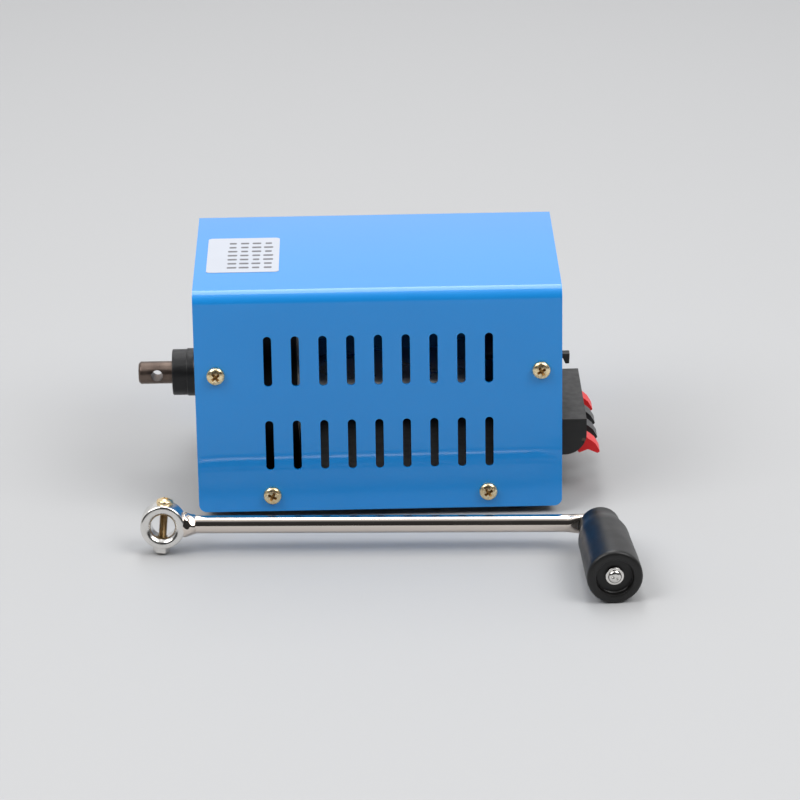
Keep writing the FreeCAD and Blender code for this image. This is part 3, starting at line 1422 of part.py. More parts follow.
def make_crank_rod():
    """The arm: a round rod coped onto the hub, its far end forged flat into an eye."""
    blank = new_body("crank_rod_blank", crank_at, crank_turn)
    neck = s.crank_arm - s.eye_width / 2 - s.eye_neck
    radius = s.rod_width / 2
    turned(blank, [(0, 0), (0, radius), (neck, radius), (neck, 0)])
    eye = new_body("crank_eye", arm_point(s.crank_arm, 0, 0), grip_turn)
    half = s.eye_thickness / 2
    add(eye, "XZ", lambda sketch: circle(sketch, 0, 0, s.eye_width), -half, half)
    eye_bore = s.spindle_width + s.seat_gap * 2
    cut(eye, "XZ", lambda sketch: circle(sketch, 0, 0, eye_bore), -half - 1, half + 1)
    round_end = new_sketch(blank, "YZ", neck)
    circle(round_end, 0, 0, s.rod_width)
    flat_end = new_sketch(blank, "YZ", s.crank_arm - s.eye_width * 0.36)
    ellipse_outline(flat_end, s.eye_thickness * 0.9, s.eye_width * 0.66)
    loft = blank.newObject("PartDesign::AdditiveLoft", "crank_neck_loft")
    loft.Profile = round_end
    loft.Sections = [flat_end]
    cope = doc.addObject("Part::Cylinder", "hub_cope")
    cope.Radius = s.hub_width.value / 2 + s.seat_gap.value
    bind(cope, "Radius", s.hub_width / 2 + s.seat_gap)
    cope.Height = s.hub_length.value * 2
    bind(cope, "Height", s.hub_length * 2)
    roll = math.radians(SIZES["hub_roll"])
    place(cope, arm_point(0, s.hub_length * math.cos(roll), s.hub_length * -math.sin(roll)),
          hub_turn.multiply(Rotation(Vector(1, 0, 0), 90)))
    node(without("crank_rod", fused("crank_rod_whole", [blank, eye]), cope))
    weld_start = s.hub_width / 2 - 1.2
    weld_blank = new_body("crank_weld_blank", crank_at, crank_turn)
    end = s.hub_width / 2 + s.weld_length
    inner = s.rod_width / 2 + s.seat_gap
    turned(weld_blank, [
        (weld_start, inner), (weld_start, s.weld_foot / 2), (s.hub_width / 2 + 0.4, s.weld_foot / 2),
        (s.hub_width / 2 + s.weld_length * 0.55, s.weld_nose / 2 + 0.5), (end, s.weld_nose / 2),
        (end, inner),
    ])
    node(without("crank_weld", weld_blank, cope))


def ellipse_outline(sketch, width, height):
    """An ellipse centred on the sketch's origin, taller than it is wide."""
    width, height = dim(width), dim(height)
    shape = Part.Ellipse(Vector(0, height.value / 2), Vector(width.value / 2, 0), Vector(0, 0))
    sketch.addGeometry(shape)


def make_clamp():
    """The screw through the hub, slightly off square to the arm, and its nut underneath."""
    turn = hub_turn.multiply(clamp_turn)
    screw = pan_screw("clamp_screw", s.hub_seat * 2 + s.nut_height - 0.2, s.head_width - 0.6)
    place(screw, seat_place(s.hub_seat), turn)
    node(screw)
    nut = hex_nut("clamp_nut", s.thread_hole)
    place(nut, seat_place(-s.hub_seat), turn.multiply(Rotation(Vector(1, 0, 0), 180)))
    node(nut)


def seat_place(distance):
    """A place on the clamp screw's axis at a distance from the hub's centre."""
    angle = math.radians(SIZES["clamp_angle"])
    roll = math.radians(SIZES["hub_roll"])
    return arm_point(distance * math.sin(angle), distance * (math.cos(angle) * math.sin(roll)),
                     distance * (math.cos(angle) * math.cos(roll)))


grip_at = arm_point(s.crank_arm, 0, 0)


def make_grip():
    """The revolving grip, turned about its own Y axis; it points towards -Y from the eye."""
    body = new_body("grip", grip_at, grip_turn)
    back = -s.eye_thickness / 2 - s.grip_play
    front = back - s.grip_length
    bore = s.spindle_width / 2 + s.running_gap
    flare = back - s.grip_flare_start
    floor = front + s.grip_recess_depth
    turned(body, [
        (bore, back), (s.grip_back_width / 2 - s.grip_edge, back),
        (s.grip_back_width / 2, back - s.grip_edge),
        (s.grip_flare / 2 - 0.5, flare + 1.8), (s.grip_flare / 2, flare),
        (s.grip_front_width / 2, front + 3),
        (s.grip_front_width / 2, front + s.grip_edge), (s.grip_front_width / 2 - s.grip_edge, front),
        (s.grip_recess_width / 2, front), (s.grip_recess_width / 2, floor), (bore, floor),
    ], "Y")
    node(body)
    spindle = new_body("grip_spindle", grip_at, grip_turn)
    eye_back = s.eye_thickness / 2
    radius = s.spindle_width / 2
    shoulder = floor - s.grip_play
    neck_end = shoulder - s.washer_sheet - s.seat_gap
    turned(spindle, [
        (0, eye_back + s.spindle_rivet_rise), (s.spindle_rivet / 2 - 0.8, eye_back + s.spindle_rivet_rise),
        (s.spindle_rivet / 2, eye_back + s.seat_gap), (radius, eye_back + s.seat_gap), (radius, shoulder),
        (s.spindle_neck / 2, shoulder), (s.spindle_neck / 2, neck_end), (s.spindle_head / 2, neck_end),
        (s.spindle_head / 2, neck_end - s.head_thickness * 0.6),
        (s.spindle_head / 2 - 0.7, neck_end - s.head_thickness), (0, neck_end - s.head_thickness),
    ], "Y")
    node(spindle)
    washer = new_body("spindle_washer", grip_at, grip_turn)
    hole = s.spindle_neck / 2 + s.seat_gap
    turned(washer, [
        (hole, shoulder - s.seat_gap), (s.washer_width / 2, shoulder - s.seat_gap),
        (s.washer_width / 2, shoulder - s.washer_sheet + 0.2),
        (s.washer_width / 2 - 0.2, shoulder - s.washer_sheet), (hole, shoulder - s.washer_sheet),
    ], "Y")
    node(washer)


# ---------------------------------------------------------------- build, check and write


def check_model():
    """Stop if any object failed, any pocket cut nothing, or any piece isn't a sound solid."""
    for item in doc.Objects:
        for state in item.State:
            if state in ("Invalid", "Error"):
                raise ValueError(item.Label + " is " + state)
        if item.TypeId in ("PartDesign::Pocket", "PartDesign::Groove"):
            if item.Shape.Volume > item.BaseFeature.Shape.Volume - 1e-6:
                raise ValueError(item.Label + " cuts nothing")
    for piece in NODES:
        shape = piece.Shape
        if shape.isNull() or not shape.isValid() or not shape.Solids:
            raise ValueError(piece.Label + " is not a sound solid")


def write_parts():
    os.makedirs("parts", exist_ok=True)
    for piece in NODES:
        piece.Shape.exportStep(os.path.join("parts", piece.Label + ".step"))
        box = piece.Shape.BoundBox
        print("%-22s solids %2d  volume %10.1f  x %7.1f %7.1f  y %7.1f %7.1f  z %6.1f %6.1f" % (
            piece.Label, len(piece.Shape.Solids), piece.Shape.Volume, box.XMin, box.XMax, box.YMin, box.YMax,
            box.ZMin, box.ZMax))
    print(len(NODES), "pieces")


make_cover()
make_base_plate()
make_shaft_end_plate()
make_terminal_end_plate()
make_cover_screws()
make_chassis_screws()
make_feet()
make_label()
make_gearbox_plates()
make_gearbox_housing()
make_gearbox_screws()
make_nose()
make_output_shaft()
make_output_gear()
make_countershaft()
make_motor_case()
make_brushes()
make_rotor()
make_motor_screws()
make_board()
make_board_parts()
make_terminal_body()
make_terminal_contacts()
make_levers()
make_switch()
make_rivets()
make_leads()
make_crank_hub()
make_crank_rod()
make_clamp()
make_grip()
doc.recompute()
check_model()
write_parts()
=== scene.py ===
# %% [markdown]
# # A hand crank generator
# The object is a small generator in a bent sheet metal case. A crank, which lies in front of
# it here, is clamped to the shaft at the left when the generator is used.
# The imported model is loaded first. It fixes where every piece is and which body it moves with,
# so each piece below only has to look right in the place that it already has.

# %% Load the model
import json
import math

import bmesh
import bpy
from mathutils import Matrix, Vector

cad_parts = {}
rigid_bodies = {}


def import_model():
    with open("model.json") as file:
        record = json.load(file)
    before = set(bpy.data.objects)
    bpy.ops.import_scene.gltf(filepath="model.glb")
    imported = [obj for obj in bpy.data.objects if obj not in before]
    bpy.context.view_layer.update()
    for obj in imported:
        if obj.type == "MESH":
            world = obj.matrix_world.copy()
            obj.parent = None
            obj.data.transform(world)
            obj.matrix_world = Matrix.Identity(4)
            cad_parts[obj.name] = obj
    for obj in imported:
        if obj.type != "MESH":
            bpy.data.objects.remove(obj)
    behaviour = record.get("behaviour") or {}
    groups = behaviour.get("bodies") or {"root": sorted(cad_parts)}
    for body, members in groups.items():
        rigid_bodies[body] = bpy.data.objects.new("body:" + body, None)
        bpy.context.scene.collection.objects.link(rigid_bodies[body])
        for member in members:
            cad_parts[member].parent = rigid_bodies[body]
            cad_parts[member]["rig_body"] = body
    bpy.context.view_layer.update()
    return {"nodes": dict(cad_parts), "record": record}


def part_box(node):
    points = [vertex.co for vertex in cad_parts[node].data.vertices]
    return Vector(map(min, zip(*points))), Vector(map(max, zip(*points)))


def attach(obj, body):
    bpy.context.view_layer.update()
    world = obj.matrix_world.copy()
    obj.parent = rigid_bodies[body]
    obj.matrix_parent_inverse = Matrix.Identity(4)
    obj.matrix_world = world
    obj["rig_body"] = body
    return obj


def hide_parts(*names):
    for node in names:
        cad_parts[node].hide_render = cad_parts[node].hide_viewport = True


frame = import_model()
nodes = frame["nodes"]
MM = 0.001
print("nodes:", len(nodes))

# %% [markdown]
# ## The camera
# A long lens from about 1.4 m keeps the case's edges nearly parallel, as in a product picture
# taken on a table. The place and the angles are plain numbers, so nothing depends on the
# size of the image.

# %% Camera
LENS_MM, SENSOR_MM = 170.304, 36.0
CAMERA_AT = (-0.0073188, -1.3233309, 0.5448945)
CAMERA_TURN = (68.6694118, 0.7977175, -0.9815028)  # degrees about X, Y and Z


def link(name, data):
    """A new object in the scene that shows this camera, lamp or mesh."""
    thing = bpy.data.objects.new(name, data)
    bpy.context.scene.collection.objects.link(thing)
    return thing


camera_data = bpy.data.cameras.new("camera")
camera_data.lens = LENS_MM
camera_data.sensor_width = SENSOR_MM
camera = link("camera", camera_data)
camera.location = CAMERA_AT
camera.rotation_euler = [math.radians(angle) for angle in CAMERA_TURN]
bpy.context.scene.camera = camera
bpy.context.scene.view_settings.view_transform = "Standard"
print("camera looks down by", round(90 - CAMERA_TURN[0], 1), "degrees")

# %% [markdown]
# ## The studio
# A glossy object shows what stands round it, so the surroundings are part of its look. The
# room is dark on the viewer's side and pale above and behind. The dark side draws the
# dark band along the plated arm, and the pale side makes the top of the case light. The room is
# one colour by direction in the world's shader, the same for every kind of ray.

# %% The room
PALE_SIDE = (0.0, 0.87, 0.50)  # the room is brightest this way: behind the table, and up
ROOM = [  # place from the viewer's side to the back, and the brightness there
    (0.00, 0.030), (0.42, 0.035), (0.50, 0.20), (0.57, 0.55), (0.62, 0.80), (1.00, 0.80),
]
BLUER = 1.02  # the room's blue against its red and green
world = bpy.data.worlds.new("studio")
bpy.context.scene.world = world
world.use_nodes = True
sky = world.node_tree
direction = sky.nodes.new("ShaderNodeTexCoord")
ahead = sky.nodes.new("ShaderNodeVectorMath")
ahead.operation = "DOT_PRODUCT"
ahead.inputs[1].default_value = PALE_SIDE
# the product runs from -1 to 1, and the ramp from 0 to 1
shift = sky.nodes.new("ShaderNodeMath")
shift.operation = "MULTIPLY_ADD"
shift.inputs[1].default_value = 0.5
shift.inputs[2].default_value = 0.5
tone = sky.nodes.new("ShaderNodeValToRGB")
stops = tone.color_ramp.elements
for place, level in ROOM:
    stop = {0.0: stops[0], 1.0: stops[-1]}.get(place) or stops.new(place)
    stop.color = (level, level, level * BLUER, 1)
sky.links.new(direction.outputs["Generated"], ahead.inputs[0])
sky.links.new(ahead.outputs["Value"], shift.inputs[0])
sky.links.new(shift.outputs[0], tone.inputs["Fac"])
sky.links.new(tone.outputs["Color"], sky.nodes["Background"].inputs["Color"])
sky.nodes["Background"].inputs["Strength"].default_value = 1.0
print("room brightness from", ROOM[0][1], "to", ROOM[-1][1])

# %% [markdown]
# ## Lamps
# A long, narrow lamp hangs above and a little behind: it draws the light line along the
# bend of the case. Two soft boxes stand high in front, left and right, and fill the slotted
# side without a hard shadow.

# %% Lamps


def soft_lamp(name, place, aim, wide, deep, watts):
    """A rectangular lamp at place that faces aim."""
    data = bpy.data.lights.new(name, "AREA")
    data.shape = "RECTANGLE"
    data.size = wide
    data.size_y = deep
    data.energy = watts
    lamp = link(name, data)
    lamp.location = place
    lamp.rotation_euler = (Vector(aim) - Vector(place)).to_track_quat("-Z", "Y").to_euler()


soft_lamp("strip_above", (0.0, 0.40, 1.00), (0, 0, 0.05), 0.30, 1.10, 4.5)
soft_lamp("soft_box_left", (-0.9, -0.7, 1.30), (0, 0, 0.03), 0.9, 0.9, 12.5)
soft_lamp("soft_box_right", (0.9, -0.7, 1.30), (0, 0, 0.03), 0.9, 0.9, 13.5)
print("lamps:", len(bpy.data.lights))

# %% [markdown]
# ## Table top
# The table is a plain pale sheet. Its roughness is high, so it takes soft shadows and no
# mirror image.

# %% Table top
HALF_TABLE = 4  # metres
SQUARE = ((-1, -1), (1, -1), (1, 1), (-1, 1))


def plain_mesh(name, points=(), faces=()):
    """An object from points in metres, and the faces between them."""
    mesh = bpy.data.meshes.new(name)
    mesh.from_pydata(points, [], faces)
    return link(name, mesh)


corners = [(x * HALF_TABLE, y * HALF_TABLE, 0) for x, y in SQUARE]
table = plain_mesh("table_top", corners, [(0, 1, 2, 3)])
print("table top:", 2 * HALF_TABLE, "m square")

# %% [markdown]
# ## Finishes
# Every finish starts from one Principled shader. Three small helpers then add what a flat
# colour lacks: a slow change of tone, a change of roughness, and a fine relief. All of them
# read Object coordinates, in metres, so a pattern stays in place when a body moves.

# %% Helpers for finishes
NOISE_FROM, NOISE_TO = 0.3, 0.7  # where nearly all of the noise lies


def finish(name, colour, roughness, metallic=0.0, coat=0.0, coat_roughness=0.1, level=0.5):
    """A new material with one Principled shader; its constant values sit on the shader itself."""
    material = bpy.data.materials.new(name)
    material.use_nodes = True
    values = {
        "Base Color": (*colour, 1), "Roughness": roughness, "Metallic": metallic,
        "Coat Weight": coat, "Coat Roughness": coat_roughness, "Specular IOR Level": level,
    }
    for title, value in values.items():
        material.node_tree.nodes["Principled BSDF"].inputs[title].default_value = value
    material.diffuse_color = (*colour, 1)
    return material


def new_node(material, kind, **values):
    """A shader node with these input values."""
    node = material.node_tree.nodes.new("ShaderNode" + kind)
    for title, value in values.items():
        node.inputs[title.replace("_", " ")].default_value = value
    return node


def cloud(material, scale, detail, stretch):
    """Noise in Object coordinates; stretch draws it out along an axis."""
    tree = material.node_tree
    place = new_node(material, "TexCoord")
    mapping = new_node(material, "Mapping", Scale=stretch)
    noise = new_node(material, "TexNoise", Scale=scale, Detail=detail)
    tree.links.new(place.outputs["Object"], mapping.inputs["Vector"])
    tree.links.new(mapping.outputs["Vector"], noise.inputs["Vector"])
    return noise.outputs["Fac"]


def spread(material, value, low, high):
    """Noise gathers round its middle; this spreads it from low to high."""
    node = new_node(material, "MapRange", From_Min=NOISE_FROM, From_Max=NOISE_TO,
                    To_Min=low, To_Max=high)
    material.node_tree.links.new(value, node.inputs["Value"])
    return node.outputs["Result"]


def vary_roughness(material, scale, low, high, stretch=(1, 1, 1)):
    """Let the roughness drift between two values."""
    shader = material.node_tree.nodes["Principled BSDF"]
    value = spread(material, cloud(material, scale, 4.0, stretch), low, high)
    material.node_tree.links.new(value, shader.inputs["Roughness"])


def vary_colour(material, scale, first, second, stretch=(1, 1, 1)):
    """Let the colour drift between two tones."""
    tree = material.node_tree
    mix = tree.nodes.new("ShaderNodeMix")
    mix.data_type = "RGBA"
    mix.inputs["A"].default_value = (*first, 1)
    mix.inputs["B"].default_value = (*second, 1)
    share = spread(material, cloud(material, scale, 3.0, stretch), 0.0, 1.0)
    tree.links.new(share, mix.inputs["Factor"])
    tree.links.new(mix.outputs["Result"], tree.nodes["Principled BSDF"].inputs["Base Color"])


def relief(material, scale, height_mm, stretch=(1, 1, 1), coat_too=False):
    """A bump of about this height in millimetres."""
    tree = material.node_tree
    bump = new_node(material, "Bump", Strength=1.0, Distance=height_mm * MM)
    tree.links.new(cloud(material, scale, 2.0, stretch), bump.inputs["Height"])
    shader = tree.nodes["Principled BSDF"]
    tree.links.new(bump.outputs["Normal"], shader.inputs["Normal"])
    if coat_too:
        tree.links.new(bump.outputs["Normal"], shader.inputs["Coat Normal"])


table_finish = finish("table_paper", (0.475, 0.478, 0.481), 0.75, level=0.2)
relief(table_finish, 900, 0.02)
table.data.materials.append(table_finish)
print("table finish:", table_finish.name)

# %% [markdown]
# The case has a glossy baked paint. Such paint is never quite level: it dries with a fine
# unevenness, known as orange peel, that makes mirrored lines waver. A clear coat over a
# rougher base gives both the deep colour and the clean shine.

# %% Paint
BLUE = (0.006, 0.265, 0.73)
blue_paint = finish("blue_paint", BLUE, 0.42, coat=0.85, coat_roughness=0.06, level=0.28)
vary_colour(blue_paint, 14, (0.005, 0.258, 0.715), (0.007, 0.272, 0.745))
relief(blue_paint, 260, 0.006, coat_too=True)
print("paint:", blue_paint.name)

# %% [markdown]
# Most metal parts are inside, where only small parts of them are seen through the slots, so
# each needs little more than its tone and its roughness. The case screws, the shaft and the
# crank are outside. Their finishes also change in tone, or carry a fine relief.

# %% Metals
zinc_sheet = finish("zinc_sheet", (0.34, 0.35, 0.36), 0.34, metallic=1)
vary_roughness(zinc_sheet, 300, 0.28, 0.42)
vary_colour(zinc_sheet, 90, (0.30, 0.31, 0.32), (0.38, 0.38, 0.38))

yellow_zinc = finish("yellow_zinc", (0.92, 0.76, 0.46), 0.26, metallic=1)
vary_colour(yellow_zinc, 420, (0.94, 0.82, 0.55), (0.86, 0.64, 0.34))
vary_roughness(yellow_zinc, 900, 0.20, 0.34)

# the cross recess of the case screws is coloured dark brown: painted shade in the recess
recess_brown = finish("recess_brown", (0.36, 0.17, 0.04), 0.45, metallic=0.8)
vary_colour(recess_brown, 1500, (0.16, 0.07, 0.02), (0.60, 0.34, 0.10))

bright_zinc = finish("bright_zinc", (0.72, 0.72, 0.71), 0.22, metallic=1)
vary_roughness(bright_zinc, 500, 0.16, 0.32)

nickel = finish("nickel", (0.78, 0.76, 0.73), 0.20, metallic=1)
vary_roughness(nickel, 260, 0.15, 0.26)
relief(nickel, 500, 0.004)

thread_zinc = finish("thread_zinc", (0.36, 0.25, 0.12), 0.30, metallic=1)
vary_colour(thread_zinc, 700, (0.42, 0.30, 0.15), (0.28, 0.18, 0.08))

# the case's floor plate is zinc plated steel; this nearly black tone is painted shade for the dark
# inside of the case
floor_steel = finish("floor_steel", (0.055, 0.056, 0.058), 0.40, metallic=0.8)
vary_roughness(floor_steel, 300, 0.34, 0.48)

# across the arm the noise is drawn fine and along it coarse, as polishing leaves it
chrome = finish("chrome", (0.76, 0.68, 0.61), 0.07, metallic=1)
vary_roughness(chrome, 60, 0.05, 0.13, (1, 6, 6))
relief(chrome, 220, 0.003, (0.12, 1, 1))

dark_steel = finish("dark_steel", (0.14, 0.105, 0.09), 0.34, metallic=1)
vary_colour(dark_steel, 160, (0.10, 0.075, 0.065), (0.19, 0.145, 0.12), (1, 0.3, 0.3))
vary_roughness(dark_steel, 500, 0.26, 0.44, (3, 0.4, 0.4))

cut_steel = finish("cut_steel", (0.50, 0.49, 0.47), 0.34, metallic=1)
vary_roughness(cut_steel, 700, 0.26, 0.44, (4, 1, 1))
motor_steel = finish("motor_steel", (0.46, 0.47, 0.48), 0.30, metallic=1)
vary_roughness(motor_steel, 500, 0.24, 0.40, (0.3, 2, 2))
bronze = finish("bronze", (0.52, 0.35, 0.18), 0.42, metallic=1)
relief(bronze, 2500, 0.01)
brass = finish("brass", (0.74, 0.56, 0.28), 0.28, metallic=1)
vary_roughness(brass, 700, 0.20, 0.38)
copper = finish("copper", (0.66, 0.30, 0.14), 0.32, metallic=1)
vary_colour(copper, 900, (0.70, 0.32, 0.14), (0.50, 0.20, 0.09))
print("finishes so far:", len(bpy.data.materials))

# %% [markdown]
# Moulded plastic, rubber and cast parts are dark and grained. The grain comes from the
# mould's own surface, so it is fine and even. The grip is smoother than the terminal block.

# %% Dark parts
cast_black = finish("cast_black", (0.010, 0.010, 0.011), 0.36, level=0.4)
vary_roughness(cast_black, 500, 0.30, 0.44)
relief(cast_black, 1400, 0.02)

block_plastic = finish("block_plastic", (0.016, 0.0155, 0.015), 0.48)
vary_roughness(block_plastic, 300, 0.42, 0.56)
relief(block_plastic, 3200, 0.012)

grip_plastic = finish("grip_plastic", (0.005, 0.0048, 0.0045), 0.40, level=0.46)
vary_roughness(grip_plastic, 120, 0.36, 0.46)
relief(grip_plastic, 1800, 0.004)

rubber = finish("rubber", (0.025, 0.025, 0.025), 0.75)
relief(rubber, 1500, 0.02)
ferrite = finish("ferrite", (0.08, 0.08, 0.085), 0.7)
vary_colour(ferrite, 500, (0.06, 0.06, 0.065), (0.11, 0.11, 0.11))
carbon = finish("carbon", (0.05, 0.05, 0.052), 0.55)
relief(carbon, 2600, 0.02)
anodised = finish("anodised", (0.03, 0.03, 0.032), 0.4, metallic=0.7)
relief(anodised, 1600, 0.01)
chip_black = finish("chip_black", (0.03, 0.03, 0.03), 0.6)
relief(chip_black, 2200, 0.01)

lever_red = finish("lever_red", (0.80, 0.022, 0.026), 0.36, level=0.22)
vary_colour(lever_red, 160, (0.76, 0.020, 0.024), (0.84, 0.026, 0.030))
relief(lever_red, 1500, 0.006)
lever_black = finish("lever_black", (0.010, 0.010, 0.011), 0.30, level=0.4)
vary_roughness(lever_black, 400, 0.26, 0.38)
relief(lever_black, 1500, 0.006)
print("finishes so far:", len(bpy.data.materials))

# %% [markdown]
# The circuit board is green solder mask on glass fibre, whose weave shows faintly through
# it. The leads and the capacitor have a smooth plastic sleeve.

# %% Board, leads and label
board_green = finish("board_green", (0.03, 0.20, 0.08), 0.35, coat=0.5)
relief(board_green, 1200, 0.01)
vary_colour(board_green, 700, (0.025, 0.17, 0.07), (0.035, 0.23, 0.095))
sleeve_blue = finish("sleeve_blue", (0.02, 0.035, 0.12), 0.3)
vary_roughness(sleeve_blue, 400, 0.24, 0.38)
wire_red = finish("wire_red", (0.60, 0.03, 0.025), 0.4)
vary_roughness(wire_red, 500, 0.34, 0.48)
wire_black = finish("wire_black", (0.02, 0.02, 0.02), 0.4)
vary_roughness(wire_black, 500, 0.34, 0.48)
label_film = finish("label_film", (0.52, 0.545, 0.60), 0.42, level=0.2)
relief(label_film, 500, 0.006)
vary_colour(label_film, 60, (0.51, 0.535, 0.59), (0.53, 0.555, 0.61))
label_ink = finish("label_ink", (0.13, 0.13, 0.14), 0.6)
vary_colour(label_ink, 2500, (0.10, 0.10, 0.11), (0.20, 0.20, 0.21))

FINISHES = {
    "blue_paint": blue_paint, "zinc_steel": zinc_sheet, "black_cast": cast_black,
    "gold_screw": yellow_zinc, "plain_screw": bright_zinc, "black_rubber": rubber,
    "label_film": label_film, "black_plastic": block_plastic, "grip_plastic": grip_plastic,
    "lever_red": lever_red, "lever_black": lever_black, "shaft_steel": dark_steel,
    "gear_steel": cut_steel, "bronze": bronze, "motor_steel": motor_steel, "ferrite": ferrite,
    "copper": copper, "brass": brass, "carbon": carbon, "board_green": board_green,
    "cap_sleeve": sleeve_blue, "chip_epoxy": chip_black, "ferrite_core": ferrite,
    "black_aluminium": anodised, "wire_red": wire_red, "wire_black": wire_black,
    "chrome_rod": chrome, "zinc_bright": nickel,
}
SLOT_OF = {part["node"]: part["material_slot"] for part in frame["record"]["subparts"]}
for name, thing in nodes.items():
    thing.data.materials.clear()
    thing.data.materials.append(FINISHES[SLOT_OF[name]])
nodes["lever_pin"].data.materials[0] = dark_steel
# the base plate gets the nearly black steel: painted shade inside the case
nodes["base_plate"].data.materials[0] = floor_steel
print("finishes:", len(FINISHES), "on", len(SLOT_OF), "nodes")

# %% [markdown]
# ## Helpers for shapes
# A piece ends as a plain mesh at the origin, with its place in its points. `settle` turns
# whatever modifiers an object has into such a mesh, and `dress` makes the piece ride on its
# body in place of its solid.

# %% Settle and dress


def settle(thing):
    """Replace an object's mesh by what its modifiers make of it."""
    seen = thing.evaluated_get(bpy.context.evaluated_depsgraph_get())
    mesh = bpy.data.meshes.new_from_object(seen)
    mesh.name = thing.name
    thing.modifiers.clear()
    thing.data = mesh
    return thing


def smooth(thing, sharp_degrees=35):
    """Shade smoothly, but keep every edge sharp that bends more than this."""
    thing.data.shade_smooth()
    thing.data.set_sharp_from_angle(angle=math.radians(sharp_degrees))
    return thing


def soften(thing, width_mm, segments=2):
    """Round the sharp edges a little, as every real edge is; flat faces stay flat."""
    bevel = thing.modifiers.new("soft_edges", "BEVEL")
    bevel.width = width_mm * MM
    bevel.segments = segments
    bevel.limit_method = "ANGLE"
    bevel.angle_limit = math.radians(35)
    bevel.use_clamp_overlap = True
    bevel.harden_normals = True


def dress(thing, *stands_for, material=None, body=None, slot=None):
    """Give a piece its finish, its body and the nodes that it stands for."""
    first = stands_for[0] if stands_for else None
    if material or not thing.data.materials:
        thing.data.materials.clear()
        thing.data.materials.append(material or FINISHES[SLOT_OF[first]])
    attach(thing, body or nodes[first]["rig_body"])
    if stands_for:
        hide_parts(*stands_for)
    spans = [(round(min(c) / MM, 1), round(max(c) / MM, 1))
             for c in zip(*(v.co for v in thing.data.vertices))]
    print(thing.name, len(thing.data.polygons), "faces, mm", spans)


def cut_away(thing, cutter):
    """Take the cutter's volume out of a piece, then drop the cutter."""
    boolean = thing.modifiers.new("cut", "BOOLEAN")
    boolean.operation = "DIFFERENCE"
    boolean.solver = "EXACT"
    boolean.object = cutter
    settle(thing)
    bpy.data.objects.remove(cutter)


def build(name, shape, place, turn):
    """An object from a bmesh in millimetres, turned, and put in its place in metres."""
    bmesh.ops.recalc_face_normals(shape, faces=shape.faces)
    mesh = bpy.data.meshes.new(name)
    shape.to_mesh(mesh)
    shape.free()
    mesh.transform(Matrix.Translation(Vector(place) * MM) @ turn.to_4x4() @ Matrix.Scale(MM, 4))
    return link(name, mesh)


print("helpers: settle, smooth, soften, dress, cut_away, build")

# %% [markdown]
# Many pieces are turned parts. `lathe` spins a profile of (along, radius) pairs about the
# local X axis. `eased` first rounds the profile's corners with short curves, because a
# turned edge is never knife sharp and the small curve is what catches the light.

# %% Lathe


def eased(profile, reach, closed=True, steps=4):
    """The profile with a short curve at each corner, which takes up to reach from both sides."""
    points = [Vector(p) for p in profile]
    out = []
    for i, corner in enumerate(points):
        if not closed and i in (0, len(points) - 1):
            out.append(corner)
            continue
        sides = points[i - 1] - corner, points[(i + 1) % len(points)] - corner
        # less than half of a side, so that the curves at both its ends stay apart
        first, last = [corner + side * min(0.45, reach / max(side.length, 1e-9)) for side in sides]
        for step in range(steps + 1):
            t = step / steps
            out.append(first * (1 - t) ** 2 + corner * 2 * t * (1 - t) + last * t * t)
    return [(p.x, p.y) for p in out]


def lathe(name, profile, place=(0, 0, 0), turn=Matrix(), closed=True, segments=96, wobble=None):
    """Spin (along, radius) pairs, in millimetres, about local X; wobble may change a radius."""
    shape = bmesh.new()
    rings = []
    for along, radius in profile:
        if radius < 1e-6:
            rings.append([shape.verts.new((along, 0, 0))])
            continue
        ring = []
        for k in range(segments):
            angle = 2 * math.pi * k / segments
            r = radius + (wobble(along, angle, radius) if wobble else 0.0)
            ring.append(shape.verts.new((along, r * math.cos(angle), r * math.sin(angle))))
        rings.append(ring)
    pairs = list(zip(rings, rings[1:])) + ([(rings[-1], rings[0])] if closed else [])
    for a, b in pairs:
        for k in range(segments):
            m = (k + 1) % segments
            corners = [a[k % len(a)], a[m % len(a)], b[m % len(b)], b[k % len(b)]]
            face = list(dict.fromkeys(corners))
            if len(face) > 2:
                shape.faces.new(face)
    return smooth(build(name, shape, place, turn))


def drill(start, end, radius, place, turn, segments=48):
    """A plain round cutter from start to end along its axis, in millimetres."""
    profile = [(start, 0.0), (start, radius), (end, radius), (end, 0.0)]
    return lathe("drill", profile, place, turn, closed=False, segments=segments)


ALONG_Y = Matrix.Rotation(math.radians(90), 4, "Z")
ALONG_Z = Matrix.Rotation(math.radians(-90), 4, "Y")
print("helpers: eased, lathe, drill")

# %% [markdown]
# ## The slotted cover
# One sheet, 1 mm thick, is bent over the front, the top and the back of the case. It follows
# simple rules: a rounded bend and two rows of equal slots. That makes it a good job for
# Geometry Nodes. The tree makes a rounded prism, takes a slightly smaller one out of it,
# trims the lower corners, and then cuts the slots, which are one cutter repeated on a grid
# of points. Change an input, and the case follows. The screw holes are hidden by the heads
# of the screws, so they are left out.

# %% Tools for a node tree


